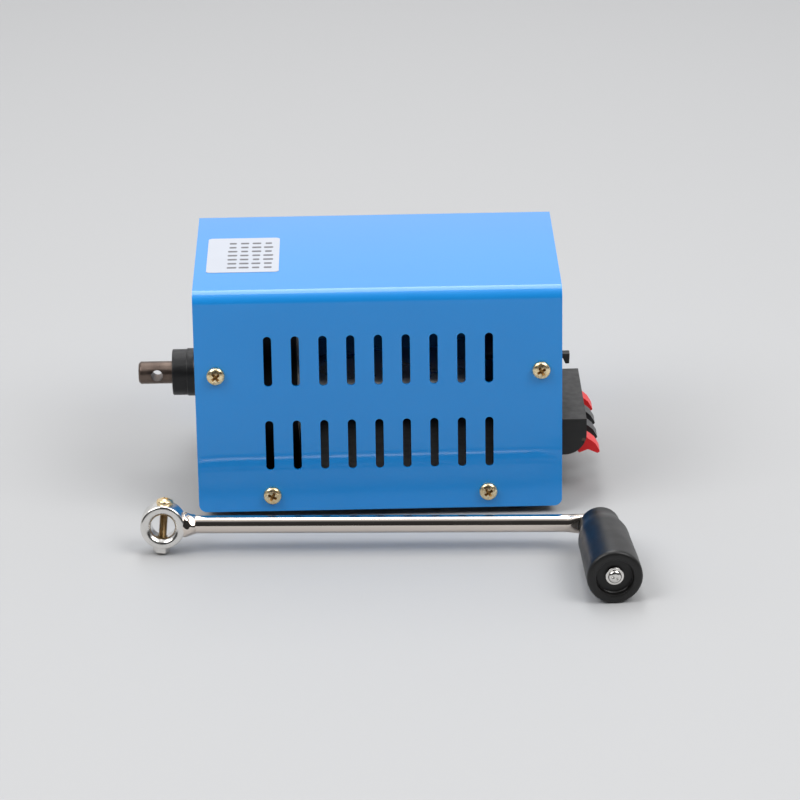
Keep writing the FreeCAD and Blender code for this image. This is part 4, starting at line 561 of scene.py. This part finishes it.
class Tree:
    """A geometry node tree with named inputs, built one node at a time."""

    def __init__(self, name, inputs):
        self.group = bpy.data.node_groups.new(name, "GeometryNodeTree")
        self.group.is_modifier = True
        sockets = self.group.interface
        sockets.new_socket("Geometry", in_out="OUTPUT", socket_type="NodeSocketGeometry")
        sockets.new_socket("Geometry", in_out="INPUT", socket_type="NodeSocketGeometry")
        for title, (kind, value) in inputs.items():
            kind = "NodeSocket" + kind
            socket = sockets.new_socket(title, in_out="INPUT", socket_type=kind)
            if value is not None:
                socket.default_value = value
        self.source = self.group.nodes.new("NodeGroupInput")
        self.sink = self.group.nodes.new("NodeGroupOutput")

    def __getitem__(self, title):
        return self.source.outputs[title]

    def feed(self, socket, value):
        """Give a socket a value, or link another node's socket to it."""
        if isinstance(value, bpy.types.NodeSocket):
            self.group.links.new(value, socket)
        else:
            socket.default_value = value

    def add(self, kind, settings=None, **inputs):
        """A node with its settings and inputs; a list feeds one socket more than once."""
        node = self.group.nodes.new(kind)
        for key, value in (settings or {}).items():
            setattr(node, key, value)
        for key, value in inputs.items():
            for one in value if isinstance(value, list) else [value]:
                self.feed(node.inputs[key.replace("_", " ")], one)
        return node.outputs[0]

    def sum(self, a, b, operation="ADD"):
        """Two numbers joined by a sum, or by another operation."""
        node = self.group.nodes.new("ShaderNodeMath")
        node.operation = operation
        self.feed(node.inputs[0], a)
        self.feed(node.inputs[1], b)
        return node.outputs[0]

    def vector(self, x, y, z):
        return self.add("ShaderNodeCombineXYZ", X=x, Y=y, Z=z)

    def random(self, low, high):
        """A random number for each copy, drawn with the tree's Seed."""
        node = self.group.nodes.new("FunctionNodeRandomValue")
        node.data_type = "FLOAT"
        node.inputs[2].default_value = low
        node.inputs[3].default_value = high
        self.group.links.new(self["Seed"], node.inputs["Seed"])
        return node.outputs[1]

    def boolean(self, operation, **shapes):
        return self.add("GeometryNodeMeshBoolean", {"operation": operation, "solver": "EXACT"},
                        **shapes)

    def prism(self, width, height, radius, length, corners=10):
        """A rounded rectangle in XY, raised along Z."""
        outline = self.add("GeometryNodeCurvePrimitiveQuadrilateral", Width=width, Height=height)
        outline = self.add("GeometryNodeFilletCurve", {"mode": "POLY"}, Curve=outline,
                           Count=corners, Radius=radius)
        base = self.add("GeometryNodeFillCurve", {"mode": "NGONS"}, Curve=outline)
        raised = self.add("GeometryNodeExtrudeMesh", Mesh=base, Offset=(0, 0, 1),
                          Offset_Scale=length, Individual=False)
        floor = self.add("GeometryNodeFlipFaces", Mesh=base)
        both = self.add("GeometryNodeJoinGeometry", Geometry=[raised, floor])
        return self.add("GeometryNodeMergeByDistance", Geometry=both, Distance=1e-6)

    def move(self, shape, place, turn=(0, 0, 0)):
        return self.add("GeometryNodeTransform", Geometry=shape, Translation=place, Rotation=turn)

    def finish(self, shape, *materials):
        """Realize what is repeated, set the materials and end the tree."""
        shape = self.add("GeometryNodeRealizeInstances", Geometry=shape)
        for material, selection in materials:
            extra = {} if selection is None else {"Selection": selection}
            shape = self.add("GeometryNodeSetMaterial", Geometry=shape, Material=material, **extra)
        self.group.links.new(shape, self.sink.inputs["Geometry"])

    def run(self, thing, **values):
        """Put the tree on an object with these inputs, and settle the result as its mesh."""
        modifier = thing.modifiers.new("nodes", "NODES")
        modifier.node_group = self.group
        for item in self.group.interface.items_tree:
            if item.in_out == "INPUT" and item.name in values:
                modifier[item.identifier] = values[item.name]
        return settle(thing)


RIGHT = math.radians(90)
print("a tree can: feed, add, sum, vector, random, boolean, prism, move, finish, run")

# %% Cover
CLEAR, THROUGH = 0.01, 0.2  # metres: how far a cutter sticks out, and one that goes through
ALMOST_HALF = 0.4995  # of a slot's width, so that the two fillets of an end don't meet
low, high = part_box("cover")
cover_tree = Tree("bent_slotted_sheet", {
    "Length": ("Float", high.x - low.x), "Depth": ("Float", high.y - low.y),
    "Low": ("Float", low.z), "High": ("Float", high.z), "Sheet": ("Float", 1.0 * MM),
    "Bend": ("Float", 4.6 * MM), "Corner": ("Float", 3.0 * MM),
    "Slot Width": ("Float", 3.0 * MM), "Slot Length": ("Float", 19.4 * MM),
    "Slot Count": ("Int", 9), "Slot Span": ("Float", 80.0 * MM),
    "Row Middle": ("Float", 45.1 * MM), "Row Gap": ("Float", 32.6 * MM),
    "Material": ("Material", blue_paint),
})
t = cover_tree
tall = 2 * (high.z - low.z)
double = t.sum(t["Sheet"], 2.0, "MULTIPLY")
outside = t.prism(t["Depth"], tall, t["Bend"], t["Length"])
inside = t.prism(t.sum(t["Depth"], double, "SUBTRACT"), t.sum(tall, double, "SUBTRACT"),
                 t.sum(t["Bend"], t["Sheet"], "SUBTRACT"), t.sum(t["Length"], 2 * CLEAR))
middle_z = t.sum(t["High"], tall / 2, "SUBTRACT")
half_length = t.sum(t["Length"], -0.5, "MULTIPLY")
# a prism raised along Z is laid along X: its own X becomes Y and its own Y becomes Z
lay = (RIGHT, 0, RIGHT)
outside = t.move(outside, t.vector(half_length, 0, middle_z), lay)
inside = t.move(inside, t.vector(t.sum(half_length, -CLEAR), 0, middle_z), lay)
sheet = t.boolean("DIFFERENCE", Mesh_1=outside, Mesh_2=[inside])
# a prism turned by RIGHT about X runs towards -Y, through the front and the back
trim = t.prism(t["Length"], tall, t["Corner"], THROUGH)
trim = t.move(trim, t.vector(0, THROUGH / 2, t.sum(t["Low"], tall / 2)), (RIGHT, 0, 0))
sheet = t.boolean("INTERSECT", Mesh_2=[sheet, trim])
slot_end = t.sum(t["Slot Width"], ALMOST_HALF, "MULTIPLY")
slot_cutter = t.prism(t["Slot Width"], t["Slot Length"], slot_end, THROUGH)
slot_cutter = t.move(slot_cutter, (0, THROUGH / 2, 0), (RIGHT, 0, 0))
grid = t.add("GeometryNodeMeshGrid", Size_X=t["Slot Span"], Size_Y=t["Row Gap"],
             Vertices_X=t["Slot Count"], Vertices_Y=2)
grid = t.move(grid, t.vector(0, 0, t["Row Middle"]), (RIGHT, 0, 0))
slots = t.add("GeometryNodeRealizeInstances",
              Geometry=t.add("GeometryNodeInstanceOnPoints", Points=grid, Instance=slot_cutter))
sheet = t.boolean("DIFFERENCE", Mesh_1=sheet, Mesh_2=[slots])
t.finish(sheet, (t["Material"], None))
cover = t.run(plain_mesh("slotted_cover"), Material=blue_paint)
soften(smooth(cover, 30), 0.28, 3)
dress(cover, "cover")

# %% [markdown]
# ## Screws
# The case is held by pan head screws with a cross recess. One screw is turned and cut, and
# a node tree then sets a copy on each seat. The seats come from the model: for each
# separate screw in a node, its axis and the side of its head are measured. A seed turns
# every cross to its own angle, because nobody lines them up. The screws inside the case
# are made the same way, shorter or smaller.

# %% One screw
HEAD_WIDTH, HEAD_RISE, HEAD_RIM = 6.6, 2.3, 0.9  # the rim is upright, and the dome starts on it
THREAD = 3.0
CROSS_TOP, CROSS_FOOT, CROSS_DEPTH = (2.15, 0.58), (0.85, 0.34), 1.35
ABOVE = 0.4  # how far the cutter of a recess stands out of the head


def pan_head(width):
    """The (along, radius) profile of a domed head that stands on 0."""
    profile = [(-0.05, width / 2 - 0.15), (0.15, width / 2), (HEAD_RIM, width / 2)]
    profile += [(HEAD_RIM + (HEAD_RISE - HEAD_RIM) * math.sin(a), width / 2 * math.cos(a))
                for a in [math.radians(v) for v in range(10, 90, 10)]]
    return profile + [(HEAD_RISE, 0.0)]


def tapered_bar(name, top, bottom, low, high):
    """A bar along X whose upper face is larger than its lower one, in millimetres."""
    corners = [(sx * w, sy * d, z) for (w, d), z in ((bottom, low), (top, high))
               for sx, sy in SQUARE]
    faces = [(3, 2, 1, 0), (4, 5, 6, 7), (0, 1, 5, 4), (1, 2, 6, 5), (2, 3, 7, 6), (3, 0, 4, 7)]
    return plain_mesh(name, [Vector(c) * MM for c in corners], faces)


def cross_screw(name, head, reach):
    """A pan head screw that stands on z = 0, with a mark on the faces of its recess."""
    profile = [(-reach, 0.0), (-reach, THREAD / 2 - 0.3), (0.3 - reach, THREAD / 2),
               (-0.05, THREAD / 2)] + pan_head(head)
    screw = lathe(name, profile, turn=ALONG_Z, closed=False, segments=48)
    for turned in (0, 90):
        bar = tapered_bar("cross", CROSS_TOP, CROSS_FOOT, HEAD_RISE - CROSS_DEPTH,
                          HEAD_RISE + ABOVE)
        bar.data.transform(Matrix.Rotation(math.radians(turned), 4, "Z"))
        cut_away(screw, bar)
    smooth(screw, 40)
    recess = screw.data.attributes.new("recess", "BOOLEAN", "FACE")
    for face in screw.data.polygons:
        r, z = math.hypot(face.center.x, face.center.y) / MM, face.center.z / MM
        dome = HEAD_RIM + (HEAD_RISE - HEAD_RIM) * math.sqrt(max(0.0, 1 - (2 * r / head) ** 2))
        below_dome = HEAD_RISE - CROSS_DEPTH - 0.05 < z < dome - 0.07
        recess.data[face.index].value = r < CROSS_TOP[0] + 0.05 and below_dome
    return screw


case_screw = cross_screw("case_screw", HEAD_WIDTH, 6.0)
print("one screw has", len(case_screw.data.polygons), "faces")

# %% Where the screws sit


def merged(node):
    """A node's mesh as a bmesh, with its loose triangles joined."""
    shape = bmesh.new()
    shape.from_mesh(nodes[node].data)
    bmesh.ops.remove_doubles(shape, verts=shape.verts, dist=1e-6)
    return shape


def loose_parts(node):
    """The separate solids of a node, as lists of points in metres."""
    shape = merged(node)
    left, parts = set(shape.verts), []
    while left:
        part, edge = [], [left.pop()]
        while edge:
            point = edge.pop()
            part.append(point.co.copy())
            for joined in point.link_edges:
                other = joined.other_vert(point)
                if other in left:
                    left.remove(other)
                    edge.append(other)
        parts.append(part)
    shape.free()
    return parts


def seat_of(part):
    """The seat under a screw's head, the way the head faces, and how far the screw reaches in.

    A screw is round, so its axis is the direction whose two neighbours have the same size.
    """
    low = Vector([min(p[i] for p in part) for i in range(3)])
    high = Vector([max(p[i] for p in part) for i in range(3)])
    size, middle = high - low, (low + high) / 2
    axis = min(range(3), key=lambda i: abs(size[i - 1] - size[i - 2]))

    def girth(end):
        near = [p for p in part if abs(p[axis] - end) < 1.0 * MM]
        return max(Vector([p[i] - middle[i] for i in range(3) if i != axis]).length for p in near)

    sign = 1 if girth(high[axis]) > girth(low[axis]) + 0.3 * MM else -1
    facing = Vector((0, 0, 0))
    facing[axis] = sign
    seat = middle.copy()
    seat[axis] = (high[axis] if sign > 0 else low[axis]) - sign * HEAD_RISE * MM
    return seat, facing, size[axis] / MM - HEAD_RISE


screw_tree = Tree("screws_on_seats", {
    "Screw": ("Object", None), "Seed": ("Int", 4),
    "Finish": ("Material", yellow_zinc), "Recess": ("Material", recess_brown),
})
t = screw_tree
facing = t.add("GeometryNodeInputNamedAttribute", {"data_type": "FLOAT_VECTOR"}, Name="facing")
upright = t.add("FunctionNodeAlignRotationToVector", {"axis": "Z"}, Vector=facing)
about = t.add("FunctionNodeAxisAngleToRotation", Axis=(0, 0, 1), Angle=t.random(0.0, math.pi))
turned = t.add("FunctionNodeRotateRotation", {"rotation_space": "LOCAL"}, Rotation=upright,
               Rotate_By=about)
screw_shape = t.group.nodes.new("GeometryNodeObjectInfo")
t.group.links.new(t["Screw"], screw_shape.inputs["Object"])
points = t.add("GeometryNodeMeshToPoints", Mesh=t["Geometry"])
placed = t.add("GeometryNodeInstanceOnPoints", Points=points,
               Instance=screw_shape.outputs["Geometry"], Rotation=turned)
in_recess = t.add("GeometryNodeInputNamedAttribute", {"data_type": "BOOLEAN"}, Name="recess")
t.finish(placed, (t["Finish"], None), (t["Recess"], in_recess))


def set_screws(name, node, screw, material, seed, recess=recess_brown):
    """Screws on all the seats of a node."""
    seats = [seat_of(part) for part in loose_parts(node)]
    seats.sort(key=lambda seat: tuple(round(v, 4) for v in seat[0]))
    thing = plain_mesh(name, [seat for seat, facing, reach in seats])
    way = thing.data.attributes.new("facing", "FLOAT_VECTOR", "POINT")
    for item, (seat, facing, reach) in zip(way.data, seats):
        item.vector = facing
    screw_tree.run(thing, Screw=screw, Seed=seed, Finish=material, Recess=recess)
    reaches = sorted({round(reach, 1) for seat, facing, reach in seats})
    print(name, "sit on", len(seats), "seats and reach in", reaches, "mm")
    dress(thing, node)


# the case screws' recesses get the dark brown: painted shade
set_screws("case_screws", "cover_screws", case_screw, yellow_zinc, 4)
short_screw = cross_screw("short_screw", HEAD_WIDTH, 2.6)
set_screws("inside_screws", "chassis_screws", short_screw, bright_zinc, 9, bright_zinc)
small_screw = cross_screw("small_screw", HEAD_WIDTH - 0.8, 4.6)
set_screws("board_fixings", "board_screws", small_screw, bright_zinc, 2, bright_zinc)
for used in (case_screw, short_screw, small_screw):
    bpy.data.objects.remove(used)

# %% [markdown]
# ## The label
# A small film label is stuck to the top. What it says isn't copied: plain bars stand where
# its lines are. Each line is a row of points, and each point gets a thin bar whose length
# comes from a seeded random value.

# %% Bars on the label
BARS_SHIFT = (2.6, -0.6, -0.02)  # millimetres: right, forward, and down into the film
low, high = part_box("label")
label_tree = Tree("bars_in_lines", {
    "Lines": ("Int", 7), "Bars": ("Int", 4), "Across": ("Float", 13.2 * MM),
    "Along": ("Float", 27.0 * MM), "Thick": ("Float", 1.7 * MM), "Long": ("Float", 3.7 * MM),
    "Seed": ("Int", 3), "Ink": ("Material", label_ink),
})
t = label_tree
grid = t.add("GeometryNodeMeshGrid", Size_X=t["Across"], Size_Y=t["Along"], Vertices_X=t["Bars"],
             Vertices_Y=t["Lines"])
label_middle = Vector(((low.x + high.x) / 2, (low.y + high.y) / 2, high.z))
grid = t.move(grid, label_middle + Vector(BARS_SHIFT) * MM)
bar = t.prism(t["Long"], t["Thick"], t.sum(t["Thick"], 0.3, "MULTIPLY"), 0.05 * MM, 3)
bars = t.add("GeometryNodeInstanceOnPoints", Points=grid, Instance=bar,
             Scale=t.vector(t.random(0.62, 1.0), 1.0, 1.0))
t.finish(bars, (t["Ink"], None))
label_bars = t.run(plain_mesh("label_bars"), Ink=label_ink)
dress(label_bars, material=label_ink, body="case", slot="label_film")

# %% [markdown]
# ## Nose and shaft
# The crank's shaft comes out of a stepped black nose. Both are turned parts: a profile
# with eased corners, spun round. The shaft is drilled across near its tip, for the screw
# that clamps the crank to it.

# %% Nose and shaft
low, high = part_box("shaft_nose")
shaft_level = (low.z + high.z) / 2 / MM
nose_tip, nose_end = low.x / MM, high.x / MM
WALL = -65.0  # the outer face of the left end plate
NOSE_BORE, SPIGOT, NOSE, RIB, COLLAR = 6.02, 7.0, 8.6, 8.9, 9.8  # radii
nose_profile = [
    (nose_tip, NOSE_BORE), (nose_tip, NOSE - 0.3), (nose_tip + 0.3, NOSE),
    (WALL - 6.0, NOSE), (WALL - 6.0, RIB), (WALL - 3.6, RIB), (WALL - 0.9, COLLAR),
    (WALL, COLLAR), (WALL, SPIGOT), (nose_end, SPIGOT), (nose_end, NOSE_BORE),
]
nose = lathe("stepped_nose", eased(nose_profile, 0.2), (0, 0, shaft_level))
dress(nose, "shaft_nose")

low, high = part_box("output_shaft")
tip, tail = low.x / MM, high.x / MM
SHAFT, JOURNAL, JOURNAL_START = 4.2, 4.5, -72.2  # two radii, and where the thicker part starts
CHAMFER = 0.8
CROSS_HOLE, CROSS_HOLE_INSET = 2.2, 6.95  # its radius, and its place from the tip
shaft_profile = [
    (tip, 0.0), (tip, SHAFT - CHAMFER), (tip + CHAMFER, SHAFT), (JOURNAL_START, SHAFT),
    (JOURNAL_START, JOURNAL), (tail - CHAMFER, JOURNAL), (tail, JOURNAL - CHAMFER), (tail, 0.0),
]
shaft = lathe("crank_shaft", eased(shaft_profile, 0.25, closed=False), (0, 0, shaft_level),
              closed=False)
cut_away(shaft, drill(-6, 6, CROSS_HOLE, (tip + CROSS_HOLE_INSET, 0, shaft_level), ALONG_Y))
soften(smooth(shaft, 30), 0.2)
dress(shaft, "output_shaft")

# %% [markdown]
# ## Terminals and switch
# The push terminals are a black moulding with four sprung levers, red at the outer places
# and black between, and a small slide switch sits above. Their shapes are right in the
# model, but its edges are knife sharp. A merged copy with every edge slightly rounded
# shows the thin highlights that moulded edges have. The gearbox's shell and the two end
# plates are treated the same way.

# %% Softened copies


def soft_copy(name, node, width_mm, segments=2):
    """A copy of a node whose loose triangles are merged and whose edges are rounded."""
    shape = merged(node)
    bmesh.ops.dissolve_limit(shape, angle_limit=math.radians(0.5), verts=shape.verts,
                             edges=shape.edges)
    mesh = bpy.data.meshes.new(name)
    shape.to_mesh(mesh)
    shape.free()
    thing = link(name, mesh)
    soften(smooth(thing, 30), width_mm, segments)
    dress(thing, node)


soft_copy("terminal_block", "terminal_body", 0.3)
for number in (1, 2, 3, 4):
    soft_copy("push_lever_" + str(number), "terminal_lever_" + str(number), 0.35, 3)
soft_copy("slide_knob", "switch_knob", 0.3, 3)
soft_copy("gearbox_shell", "gearbox_housing", 0.4)
soft_copy("left_end_plate", "shaft_end_plate", 0.15)
soft_copy("right_end_plate", "terminal_end_plate", 0.15)

# %% [markdown]
# ## The crank
# The crank lies on the table: a bored hub, a chromed arm that is welded to it, and a
# grip that turns on a spindle. Its pieces are made straight, along local X, and one
# matrix then lays all of them where the model has the crank.

# %% Where the crank lies
CRANK_AT = (-78.3, -73.2, 10.5)  # the middle of the hub
YAW, TIP, ROLL = [math.radians(angle) for angle in (-1.75, 0.235, -7.0)]
CLAMP_LEAN, LEAN = math.radians(5.0), math.radians(4.75)  # of the clamp screw, and of the grip
ARM = 156.15  # from the hub's middle to the eye's
SEAT = 7.7  # from the hub's middle to the flats under the clamp screw's head and its nut
crank_turn = Matrix.Rotation(YAW, 4, "Z") @ Matrix.Rotation(TIP, 4, "Y")
hub_turn = crank_turn @ Matrix.Rotation(ROLL, 4, "X")
clamp_turn = hub_turn @ Matrix.Rotation(CLAMP_LEAN, 4, "Y")


def on_arm(x):
    """The place in the model of the point that lies x from the hub along the arm."""
    return Vector(CRANK_AT) + crank_turn.to_3x3() @ Vector((x, 0, 0))


print("grip end of the arm:", [round(v, 1) for v in on_arm(ARM)])

# %% [markdown]
# The hub is a ring with chamfers at both mouths, welded on a few degrees out of true. Two
# flats are sunk into its rim, where the head and the nut of the clamp screw sit, and the
# screw crosses the bore.

# %% Hub
BEYOND = 12  # clear of the rim on both sides
SEAT_RADIUS, CLAMP_HOLE = 3.6, 1.75
hub_side = [(3.2, 4.35), (4.5, 5.65), (4.5, 7.45), (3.9, 8.05)]  # bore, mouth, face and rim
hub_profile = [(-along, radius) for along, radius in hub_side] + hub_side[::-1]
hub = lathe("hub_ring", eased(hub_profile, 0.6), CRANK_AT, hub_turn @ ALONG_Y, segments=128)
for start, end, radius in ((-BEYOND, -SEAT, SEAT_RADIUS), (SEAT, BEYOND, SEAT_RADIUS),
                           (-BEYOND, BEYOND, CLAMP_HOLE)):
    cut_away(hub, drill(start, end, radius, CRANK_AT, clamp_turn @ ALONG_Z))
soften(smooth(hub, 30), 0.15)
dress(hub, "crank_hub")

# %% [markdown]
# The arm is round bar whose far end is forged flat into an eye. The mesh is a row of rings
# that change from a circle to a tall, thin shape. Between the two the change is eased, so
# the chrome flows round it without a kink.

# %% Arm
ROD, EYE, EYE_THIN = 3.2, 5.25, 1.5  # radius of the rod, and the eye's half height and thickness
LEAN_FROM = 13.5  # millimetres before the eye's middle, where the arm starts to lean


def eased_step(value, start, end):
    """From 0 at start to 1 at end, with no kink at either."""
    t = min(1.0, max(0.0, (value - start) / (end - start)))
    return t * t * (3 - 2 * t)


def arm_ring(x):
    """Half thickness, half height and squareness of the arm at x, and how far it has leaned."""
    flat = eased_step(x, ARM - 11.5, ARM - 4.1)
    from_eye = x - ARM
    eye = math.sqrt(max(0.0, EYE ** 2 - from_eye ** 2))
    height = max(ROD + 0.25 * flat, eye) if from_eye < 0 else max(eye, 0.02)
    squareness = 2.0 + 3.0 * flat  # 2 makes a circle, and more comes nearer to a rectangle
    leaned = eased_step(x, ARM - LEAN_FROM, ARM - 4.5)
    return ROD + (EYE_THIN - ROD) * flat, height, squareness, leaned


# far apart along the plain rod, close where it turns flat, and by angle round the eye
stations = [7.2] + [8.0 + i * (ARM - 22.5) / 12 for i in range(13)]
stations += [ARM - LEAN_FROM + i * 0.5 for i in range(1, 19)]
stations += [ARM - EYE * math.cos(math.radians(a)) for a in range(24, 181, 6)]
SIDES = 64
arm_shape = bmesh.new()
arm_rings = []
for x in sorted(stations):
    thick, tall_half, squareness, leaned = arm_ring(x)
    ring = []
    for k in range(SIDES):
        across, up = [f(2 * math.pi * k / SIDES) for f in (math.cos, math.sin)]
        v = thick * math.copysign(abs(across) ** (2 / squareness), across)
        w = tall_half * math.copysign(abs(up) ** (2 / squareness), up)
        straight = Vector((x, v, w))
        hinged = Vector((ARM, 0, 0)) + Matrix.Rotation(LEAN, 3, "Z") @ Vector((x - ARM, v, w))
        ring.append(arm_shape.verts.new(straight.lerp(hinged, leaned)))
    arm_rings.append(ring)
for a, b in zip(arm_rings, arm_rings[1:]):
    for k in range(SIDES):
        m = (k + 1) % SIDES
        arm_shape.faces.new((a[k], a[m], b[m], b[k]))
arm_shape.faces.new(arm_rings[0])
arm_shape.faces.new(arm_rings[-1])
dress(smooth(build("chrome_arm", arm_shape, CRANK_AT, crank_turn), 45), "crank_rod")

# %% [markdown]
# A weld isn't even: its bead rises and falls round the bar. A turned fillet whose
# radius changes with a few slow waves looks like one that was run by hand and then plated.

# %% Weld


def bead(along, angle, radius):
    """How far the bead's surface is off its turned profile; the inside stays round."""
    if radius < 3.4:
        return 0.0
    slow = 0.16 * math.sin(4 * angle + 0.7 * along)
    fast = 0.08 * math.sin(7 * angle - 1.9 * along + 1.3)
    return slow + fast - 0.2


weld_profile = [(6.85, 3.1), (6.85, 4.6), (7.75, 4.9), (8.5, 4.75), (9.5, 4.35), (10.3, 4.05),
                (11.1, 3.75), (11.65, 3.5), (11.65, 3.1)]
weld = lathe("weld_bead", eased(weld_profile, 0.35, steps=3), CRANK_AT, crank_turn, segments=72,
             wobble=bead)
dress(smooth(weld, 60), "crank_weld")

# %% [markdown]
# The clamp screw shows its thread inside the bore. The thread is a true helix: on each
# ring of the shank the radius depends on both the height and the angle.

# %% Clamp screw and nut
PITCH, THREAD_DEPTH = 0.5, 0.30
PER_PITCH = 5  # rings of the shank in one turn of the thread
CLAMP_HEAD = 6.0
NUT_FLATS, NUT_HEIGHT = 5.5, 2.4


def thread(along, angle, radius):
    """How deep the thread's groove is here; the head and the tip stay plain."""
    if along > -0.3 or radius < 1.2:
        return 0.0
    phase = (along / PITCH - angle / (2 * math.pi)) % 1.0
    return -THREAD_DEPTH * abs(2 * phase - 1)


screw_length = SEAT * 2 + 2.2
clamp_profile = [(-screw_length, 0.0), (-screw_length, THREAD / 2 - 0.2)]
ring_count = int((screw_length - 0.4) / (PITCH / PER_PITCH))
clamp_profile += [(-screw_length + 0.2 + i * PITCH / PER_PITCH, THREAD / 2)
                  for i in range(ring_count)]
clamp_profile += [(-0.05, THREAD / 2)] + pan_head(CLAMP_HEAD)
upward = clamp_turn.to_3x3() @ Vector((0, 0, 1))
clamp_at = Vector(CRANK_AT) + upward * SEAT
clamp = lathe("clamp_bolt", clamp_profile, clamp_at, clamp_turn @ ALONG_Z, closed=False,
              segments=40, wobble=thread)
for turned_by in (35, 125):
    cross = tapered_bar("cross", (1.6, 0.42), (0.7, 0.28), HEAD_RISE - 1.3, HEAD_RISE + ABOVE)
    cross.data.transform(Matrix.Translation(clamp_at * MM) @ clamp_turn
                         @ Matrix.Rotation(math.radians(turned_by), 4, "Z"))
    cut_away(clamp, cross)
dress(smooth(clamp, 50), "clamp_screw", material=yellow_zinc)
clamp.data.materials.append(thread_zinc)
for face in clamp.data.polygons:
    face.material_index = int((face.center / MM - clamp_at).dot(upward) < -0.2)

nut_shape = bmesh.new()
corner = NUT_FLATS / math.sqrt(3)
hexagon = [nut_shape.verts.new((corner * math.cos(a), corner * math.sin(a), 0))
           for a in [math.radians(60 * k) for k in range(6)]]
nut_face = nut_shape.faces.new(hexagon)
lifted = bmesh.ops.extrude_face_region(nut_shape, geom=[nut_face])["geom"]
lifted = [part for part in lifted if isinstance(part, bmesh.types.BMVert)]
bmesh.ops.translate(nut_shape, vec=(0, 0, -NUT_HEIGHT), verts=lifted)
nut = build("clamp_nut_plated", nut_shape, Vector(CRANK_AT) - upward * SEAT, clamp_turn)
cut_away(nut, drill(-20, 2, THREAD / 2 + 0.02, clamp_at, clamp_turn @ ALONG_Z, 32))
soften(smooth(nut, 30), 0.25)
dress(nut, "clamp_nut")

# %% [markdown]
# The grip is moulded in one piece. It starts narrow, flares smoothly and stays almost
# parallel, with a sunk front where the spindle's head and its washer sit. The profile
# comes from a few radii with eased steps between them.

# %% Grip
grip_turn = crank_turn @ Matrix.Rotation(LEAN, 4, "Z")
grip_at = on_arm(ARM)
BACK, FRONT, SUNK = -1.65, -48.65, 2.5  # both ends, and how deep the front is sunk
GRIP_BORE, GRIP_THIN, GRIP_THICK, GRIP_SWELL = 2.53, 7.3, 9.2, 0.62  # radii


def grip_radius(y):
    """The flare near the back, and a slow swell towards the front."""
    from_back = BACK - y
    flare = GRIP_THIN + (GRIP_THICK - GRIP_THIN) * eased_step(from_back, 3.0, 15.0)
    return flare + GRIP_SWELL * eased_step(from_back, 14.0, 44.0)


grip_profile = [(BACK, GRIP_BORE), (BACK, 6.1), (BACK - 0.35, 6.9)]
grip_profile += [(y, grip_radius(y)) for y in [BACK - 0.9 - i for i in range(45)]]
# round the front edge, down the side of the sunk front, and along its floor to the bore
grip_profile += [(FRONT + along, radius) for along, radius in (
    (1.0, 9.77), (0.45, 9.5), (0.12, 9.0), (0.0, 8.3), (0.0, 7.1), (0.2, 6.7), (0.5, 6.55),
    (2.2, 6.5), (SUNK, 6.2), (SUNK, GRIP_BORE))]
grip = lathe("moulded_grip", grip_profile, grip_at, grip_turn @ ALONG_Y, segments=128)
dress(grip, "grip")

# %% [markdown]
# The spindle is riveted into the eye, and its front end holds the grip by a washer. The
# hammer left two small dents in that end. They are pushed into the mesh point by point,
# because a bump in the finish would leave the outline as it was.

# %% Spindle and washer
DENTS = ((-0.75, 0.25), (0.7, -0.35))  # places on the head, in millimetres from its middle
shoulder = FRONT + SUNK - 0.15
neck_end = shoulder - 1.02
spindle_profile = [
    (2.7, 0.0), (2.7, 2.4), (2.2, 3.2), (1.52, 3.5), (1.52, 2.5), (shoulder, 2.5), (shoulder, 1.8),
    (neck_end, 1.8), (neck_end, 2.4), (neck_end - 0.45, 2.35), (neck_end - 0.85, 2.0),
    (neck_end - 1.1, 1.4), (neck_end - 1.2, 0.8), (neck_end - 1.2, 0.0),
]
spindle = lathe("spindle_rod", eased(spindle_profile, 0.15, closed=False), grip_at,
                grip_turn @ ALONG_Y, closed=False, segments=64)
to_grip = (Matrix.Translation(grip_at * MM) @ grip_turn).inverted()
for vertex in spindle.data.vertices:
    local = (to_grip @ vertex.co) / MM
    if local.y < neck_end - 0.6:
        dent = sum(math.exp(-((local.x - dx) ** 2 + (local.z - dz) ** 2) / 0.16)
                   for dx, dz in DENTS)
        vertex.co += grip_turn.to_3x3() @ Vector((0, 0.45 * dent * MM, 0))
dress(spindle, "grip_spindle")

washer_profile = [(shoulder - along, radius) for along, radius in (
    (0.02, 1.82), (0.02, 3.3), (0.8, 3.3), (1.0, 3.1), (1.0, 1.82))]
washer = lathe("front_washer", eased(washer_profile, 0.15), grip_at, grip_turn @ ALONG_Y,
               segments=64)
dress(washer, "spindle_washer")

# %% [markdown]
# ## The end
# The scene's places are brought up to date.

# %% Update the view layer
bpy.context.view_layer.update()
